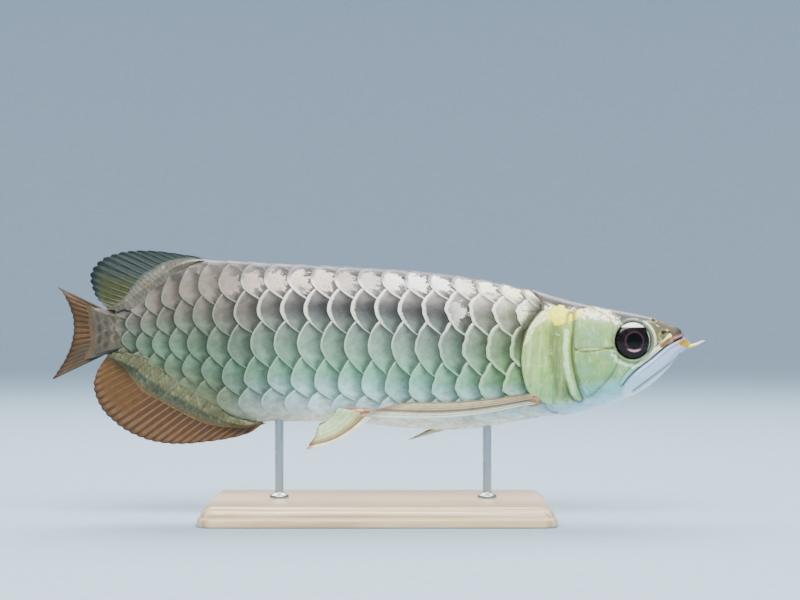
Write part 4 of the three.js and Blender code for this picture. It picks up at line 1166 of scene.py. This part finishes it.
def fin(
    name, root_at, edge_at, rays, material,
    depth=2.6, scallop=0.5, sag=(0, 0, 0), flesh=1.2, wave=0.7, fan=1,
):
    """Fin as one thin closed sheet with branching rays raised on it. Its root is sunk in the body."""
    columns = rays * FIN_COLUMNS + 1
    share = np.linspace(0, 1, columns)
    local = (share * rays) % 1 - 0.5
    local[-1] = 0.5
    root, edge = root_at(share), edge_at(share**fan)
    run = edge - root
    length = np.linalg.norm(run, axis=1, keepdims=True)
    run /= length
    ragged = rng.normal(0, 0.25, rays)[np.minimum((share * rays).astype(int), rays - 1)]
    edge = edge - run * (scallop * (2 * np.abs(local)) ** 1.7 + np.abs(ragged) * 0.6)[:, None]
    root = root - run * depth
    face = unit(np.cross(np.gradient(root_at(share), axis=0), run))
    grid_t, grid_local = np.meshgrid(np.linspace(0, 1, FIN_STEPS), local)
    along = grid_t * (length + depth) - depth
    out = np.clip(along / length, 0, 1)
    ridge = ray_ridge(grid_local, out)
    sagging = np.sin(np.pi * grid_t) * (0.4 + 0.6 * share[:, None])
    middle = root[:, None] + (edge - root)[:, None] * grid_t[..., None] + np.array(sag) * sagging[..., None]
    sway = wave * grid_t**2 * np.sin(2 * np.pi * (2.3 * share[:, None] + 0.4 * grid_t))
    half = WEB_HALF * (1 - 0.3 * grid_t) + (RAY_HALF - WEB_HALF) * ridge * (1 - 0.72 * grid_t)
    half = half + flesh * bump(np.maximum(along, 0), 3.4)
    half *= 0.35 + 0.65 * (ramp(-0.001, 0.012, share) * ramp(1.001, 0.988, share))[:, None]
    points = np.stack([middle + face[:, None] * (sway + way * half)[..., None] for way in (1, -1)])
    count = np.repeat(share, FIN_STEPS)
    values = {"ray": both(ridge), "along": both(out), "run": both(along), "count": both(count)}
    quads = shell_faces(columns, FIN_STEPS, FIN_SPLIT)
    make_piece(name, points.reshape(-1, 3), [quads], material, "fins", values, (name,))


def fins():
    """All seven fins with their flesh."""
    for kind, shape in FINS.items():
        root, edge = middle_curve(shape["root"]), middle_curve(shape["edge"])
        material = fin_material(kind, *shape["colours"])
        fin(f"{kind}_fin", root, edge, shape["rays"], material, scallop=shape["scallop"], fan=shape["fan"])
        fin_flesh(f"{kind}_fin_flesh", shape, upright=kind == "caudal")
    root_skin = fin_root_material()
    for kind, shape in PAIRED_FINS.items():
        material, rays = fin_material(kind, *shape["colours"], shape["bands"]), shape["rays"]
        for way, side in SIDES.items():
            lines = (shape["root"], shape["tip"][way])
            root, tip = (curve([(x, side * y, z) for x, z, y in line]) for line in lines)
            sag = shape["sag"][way] * np.array([1, side, 1])
            fin(f"{kind}_fin_{way}", root, tip, rays, material, depth=1, sag=sag, flesh=0.9, wave=0)
            fin_base(f"{kind}_base_{way}", shape["base"], side, root_skin)


FLESH_GRID = (140, 32)  # points along the root and up the flesh
FLESH_UP = (-1.1, 1.14)  # from inside the body to just past the flesh's top, in shares of the way up
# Small scales on the flesh. Those that stand upright are larger.
PLATE = {"long": 3.9, "half": 1.75, "rise": 0.42, "sunk": 0.2, "thick": 0.22, "upright_size": 2.1}
PLATE_ACROSS = 9
PLATE_FORWARD = [0, 0.05, 0.14, 0.28, 0.5, 0.8, 1.1]
PLATE_ROWS = range(-4, 9)
PLATE_SHARES = (0.03, 0.97)  # where along the root there are scales
PLATE_UP = (-0.9, 1.12)  # how far down and up they go
UPRIGHT_UP = 1.2


def fin_flesh(name, shape, upright):
    """Flesh that runs up both sides of a fin's root, and the small scales on it.

    The scales point along the root, or away from the body where upright is set.
    """
    root, top = middle_curve(shape["root"]), middle_curve(shape["flesh"])
    width = np.linalg.norm(np.diff(root(np.linspace(0, 1, 200)), axis=0), axis=1).sum()

    def at(share, up, side):
        """Point and outward direction at a share of the root and a share of the way up the flesh."""
        low, high = root(share), top(share)
        swell = np.clip(1.2 - up, 0, 1.1)
        half = shape["half"] * ramp(-0.02, 0.1, share) * ramp(1.02, 0.9, share) * swell**2
        place = low + (high - low) * up[..., None]
        place[..., 1] = side * (shape["least"] * ramp(1.16, 0.72, up) + half * ramp(1.1, 0.8, up))
        rise = (high - low) / np.maximum(np.linalg.norm(high - low, axis=-1, keepdims=True), 0.5)
        return place, unit(rise * 0.25 * shape["half"] * swell[..., None] + [0, side, 0])

    columns, steps = FLESH_GRID
    share, up = grid(np.linspace(0, 1, columns), np.linspace(*FLESH_UP, steps))
    points = np.stack([at(share, up, side)[0] for side in (-1, 1)]).reshape(-1, 3)
    material = flesh_material(name, shape["tints"])
    values = {"up": both(up), "tone": np.full(len(points), 0.4), "edge": np.full(len(points), 2.0)}
    make_piece(name, points, [shell_faces(columns, steps, FIN_SPLIT)], material, "skin", values)

    size = PLATE["upright_size"] if upright else 1
    long, half = PLATE["long"] * size, PLATE["half"] * size
    across, forward = grid(np.linspace(-1, 1, PLATE_ACROSS), PLATE_FORWARD)
    outline = forward + 0.42 * across**2 * (1 - 0.5 * np.clip(forward, 0, 1))
    quads, quad_spots = shell_faces(PLATE_ACROSS, len(PLATE_FORWARD))
    side_gap, row_gap = (half * 1.62, long * 0.62) if upright else (long * 0.69, half * 1.31)
    plates, groups, values = [], [], {"tone": [], "edge": [], "up": []}
    away = np.concatenate([(forward * long).ravel(), np.zeros(forward.size)])
    for row, place in [(row, place) for row in PLATE_ROWS for place in range(int(width / side_gap) + 2)]:
        along = (place + 0.5 * (row % 2)) * side_gap + 0.5 * rng.random() - 0.25
        climb = row * row_gap + 0.25 * rng.random()
        if upright:
            along, climb = along + across * half, climb - outline * long
        else:
            along, climb = along - outline * long, climb + across * half
        share = along / width
        if share.min() < PLATE_SHARES[0] or share.max() > PLATE_SHARES[1]:
            continue
        up = climb / np.maximum(np.linalg.norm(top(share) - root(share), axis=-1), 1)
        if up.mean() < PLATE_UP[0] or up.max() > (UPRIGHT_UP if upright else PLATE_UP[1]):
            continue
        rise = PLATE["rise"] * (1 + 0.3 * rng.random()) * np.clip(1 - forward, -0.1, 1)
        lift = rise * (1 - 0.8 * across**2) - PLATE["sunk"] - 0.3 * ramp(0.75, 1.1, up)
        for side in (-1, 1):
            base, normal = at(share, up, side)
            plate = np.stack([base + normal * (lift - drop)[..., None] for drop in (0, PLATE["thick"])])
            plate = plate.reshape(-1, 3)
            corner = [(side > 0) * 0.5 + 0.48 * share.mean(), np.clip(up.mean() + 0.9, 0, 1.9) / 2.1]
            island = quad_spots * [0.3 * half / width, 0.06] + corner
            [(turned, turned_spots)] = facing_out(plate, [(quads, island)])
            groups.append((turned + len(plates) * len(plate), turned_spots))
            plates.append(plate)
            values["tone"].append(np.full(len(plate), rng.random()))
            values["edge"].append(away)
            values["up"].append(both(up))
    groups = [tuple(np.vstack(arrays) for arrays in zip(*groups))]
    values = {key: np.concatenate(arrays) for key, arrays in values.items()}
    make_piece(f"{name}_scales", np.vstack(plates), groups, material, "scales", values)


def fin_base(name, base, side, material):
    """Fleshy root of a paired fin, half sunk in the flank."""
    rings, around = 24, 48
    (x, z, y), radii = base
    down, turn = grid(np.linspace(0.02, np.pi - 0.02, rings), circle(around))
    ball = np.stack([np.sin(down) * np.cos(turn), np.cos(down), np.sin(down) * np.sin(turn)], -1)
    ball[..., 0] += 0.25 * ball[..., 2] ** 2
    points = (ball * radii * [1, side, 1] + [x, side * y, z]).reshape(-1, 3)
    make_piece(name, points, [grid_faces(rings, around)], material, "skin")


def eye(name, side, material):
    """Eyeball with a slightly bulging cornea, turned a little toward the snout."""
    rings, around = 40, 96
    radius, depth = EYE["radius"] - 0.05, EYE["depth"]
    r, turn = grid(np.sin(np.linspace(0.004, np.pi / 2, rings)), circle(around))
    dome = depth * np.sqrt(np.clip(1 - r**2, 0, 1)) ** 0.9
    front = np.stack([radius * r * np.cos(turn), -dome, radius * r * np.sin(turn)], -1)
    x, y, z = np.moveaxis(np.concatenate([front, (front[::-1] * [1, -0.6, 1])[1:]]), -1, 0)
    cosine, sine = math.cos(EYE["turn"]), math.sin(EYE["turn"])
    points = np.stack(
        [x * cosine - y * sine + EYE["x"], -side * (x * sine + y * cosine - EYE["y"]), z + EYE["z"]], -1
    )
    r_back, turn_back = r[::-1][1:], turn[1:]
    shares, angle = np.concatenate([r, 2 - r_back]).ravel(), np.concatenate([turn, turn_back]).ravel()
    values = {
        "radius": shares,
        "spot": np.stack([np.cos(angle), np.sin(angle), shares], -1),
        "up": np.concatenate([r * np.sin(turn), r_back * np.sin(turn_back)]).ravel(),
        "ahead": np.concatenate([r * np.cos(turn), r_back * np.cos(turn_back)]).ravel(),
    }
    groups = [grid_faces(2 * rings - 1, around)]
    make_piece(name, points.reshape(-1, 3), groups, material, "eyes", values, (name,))


BARBEL = {"root": (185.4, 1.6, 103.4), "tip": (197.6, 4.2, 107.6), "root_radius": 1.1, "tip_radius": 0.16}


def barbel(name, side, material):
    """Chin feeler, thick and yellow at its root and drawn out thin."""
    rings, around = 40, 16
    (x0, y0, z0), (x1, y1, z1) = BARBEL["root"], BARBEL["tip"]
    middle = ((x0 + x1) / 2 + 0.6, side * (y0 + y1) / 2, (z0 + z1) / 2 - 0.7)
    share = np.linspace(0, 1, rings)
    line = curve([(x0, side * y0, z0), middle, (x1, side * y1, z1)])(share)
    radii = BARBEL["tip_radius"] + (BARBEL["root_radius"] - BARBEL["tip_radius"]) * (1 - share**1.6)
    radii *= 1 + 0.04 * np.sin(share * 60)
    run = unit(np.gradient(line, axis=0))
    across = unit(np.cross(run, [0, 1, 0.01]))
    turn = circle(around)[:, None]
    ring = across[:, None] * np.cos(turn) + np.cross(run, across)[:, None] * np.sin(turn)
    points = (line[:, None] + ring * radii[:, None, None]).reshape(-1, 3)
    values = {"along": np.repeat(share, around)}
    make_piece(name, points, [grid_faces(rings, around)], material, "skin", values, (name,))


STAND = {"length": 210, "width": 110, "height": 12, "corner": 10, "rod_radius": 2.6, "pierce": 6}
ROD_PLACES = {"stand_rod_rear": -60, "stand_rod_front": 66}
# Moulding of the base and foot of a rod: how far in from the edge or out from the rod, and height.
MOULDING = [
    (0.6, 0), (0, 0.5), (0, 4.2), (0.5, 4.9), (1.5, 5.2), (1.9, 5.8), (2.1, 7.4), (2.9, 9.2),
    (4.4, 10.4), (5.2, 10.8), (5.6, 11.4), (6.2, 12), (7.2, 12),
]
ROD_FOOT = [(-0.6, 6), (3.2, 11.6), (3.2, 13.4), (2.8, 14), (0.9, 14.6), (0.35, 15.2), (0, 15.4)]


def lathe(profile, around, x=0):
    """Points of rings round an upright axis, from the radius and height of each."""
    turn = circle(around)
    return np.concatenate([
        np.stack([x + radius * np.cos(turn), radius * np.sin(turn), np.full(around, z)], -1)
        for radius, z in profile
    ])


def stand():
    """Moulded wooden base with two steel rods, each in a small collar."""
    inset, height = curve([(a, b, 0) for a, b in MOULDING], 5)(np.linspace(0, 1, 60))[:, :2].T
    corner = np.linspace(0, np.pi / 2, 13)
    rings = []
    for off, z in zip(inset, np.clip(height, 0, STAND["height"])):
        for quarter, (sx, sy) in enumerate([(1, 1), (-1, 1), (-1, -1), (1, -1)]):
            radius = max(STAND["corner"] - off, 0.5)
            cx = sx * (STAND["length"] / 2 - off - radius)
            cy = sy * (STAND["width"] / 2 - off - radius)
            angle = corner + quarter * np.pi / 2
            x, y = cx + radius * np.cos(angle), cy + radius * np.sin(angle)
            rings.append(np.stack([x, y, np.full(len(corner), z)], -1))
    around = 4 * len(corner)
    points = np.vstack(rings)
    top = points[-around:, :2] / [STAND["length"], STAND["width"]] * 0.9 + 0.5
    faces, spots = grid_faces(len(inset), around)
    ends = end_faces(len(inset), around, (top[::-1] * 0.4 + [0.1, 0], top * [0.9, 1] + [0.08, 0]))
    groups = [(faces, spots * [0.06, 1]), *ends]
    make_piece("stand_base_wood", points, groups, wood_material(), "base", None, ("stand_base",))
    steel, keel, around, r = steel_material(), smooth(KEEL), 64, STAND["rod_radius"]
    for name, x in ROD_PLACES.items():
        top = float(keel(x)) + STAND["pierce"]
        profile = [(r + out, z) for out, z in ROD_FOOT]
        profile += [(r, z) for z in np.linspace(16, top - 1, 24)] + [(r - 0.5, top)]
        groups = [grid_faces(len(profile), around), *end_faces(len(profile), around)]
        make_piece(f"{name}_steel", lathe(profile, around, x), groups, steel, "rods", None, (name,))


def stage():
    """Round pale floor that curves up far away on every side."""
    profile = [(0.001, 0), (2.4, 0)]
    profile += [(2.4 + 1.6 * math.sin(a), 1.6 - 1.6 * math.cos(a)) for a in np.linspace(0.05, 1.45, 24)]
    profile += [(4.05, 3.6)]
    around = 128
    s = Surface("pale_floor")
    grain = s.noise(s.place(), 90, 3)
    colour = s.mix(s.span(grain, 0.3, 0.7, 0.0, 0.5), "8a9dac", "8598a8")
    material = s.finish(colour, s.span(grain, 0.3, 0.7, 0.75, 0.85))
    faces, spots = grid_faces(len(profile), around)
    upward = [(faces[:, ::-1], spots[:, ::-1])]
    floor = make_piece("floor", lathe(profile, around) / MM, upward, material)


def light(name, at, target, size, power, colour):
    """Soft rectangular lamp aimed at a point."""
    lamp = bpy.data.lights.new(name, "AREA")
    lamp.shape = "RECTANGLE"
    lamp.size, lamp.size_y = size
    lamp.energy = power
    lamp.color = colour
    item = bpy.data.objects.new(name, lamp)
    item.location = at
    item.rotation_euler = (Vector(target) - Vector(at)).to_track_quat("-Z", "Y").to_euler()
    bpy.context.scene.collection.objects.link(item)


def lighting():
    """Two wide lamps overhead and a pale surround."""
    light("over_right", (0.1, -0.85, 1.25), (0, 0, 0.1), (1.7, 0.8), 64, (1.0, 0.99, 0.97))
    light("over_left", (-0.1, 0.85, 1.25), (0, 0, 0.1), (1.7, 0.8), 54, (0.98, 0.99, 1.0))
    world = bpy.data.worlds.new("surround")
    bpy.context.scene.world = world
    world.use_nodes = True
    sky = world.node_tree.nodes["Background"].inputs
    sky["Color"].default_value = (0.9, 0.94, 0.98, 1)
    sky["Strength"].default_value = 2.2


VIEW_WIDTH = 480  # of the photograph at the fish
VIEW_CENTRE = (13.2, 132)
VIEW_DISTANCE = 1140
FLANK_OUT = 12  # how much nearer the flank is than the middle plane


def camera():
    """Level camera square to the right flank."""
    data = bpy.data.cameras.new("camera")
    data.sensor_width = 36
    data.lens = data.sensor_width * (VIEW_DISTANCE - FLANK_OUT) / VIEW_WIDTH
    data.clip_start = 0.05
    item = bpy.data.objects.new("camera", data)
    item.location = (VIEW_CENTRE[0] * MM, -VIEW_DISTANCE * MM, VIEW_CENTRE[1] * MM)
    item.rotation_euler = (math.pi / 2, 0, 0)
    bpy.context.scene.collection.objects.link(item)
    bpy.context.scene.camera = item


camera()
lighting()
stage()
skin()
scales()
fins()
eye_look, barbel_look = eye_material(), barbel_material()
for way, side in SIDES.items():
    eye(f"eye_{way}", side, eye_look)
    barbel(f"barbel_{way}", side, barbel_look)
stand()
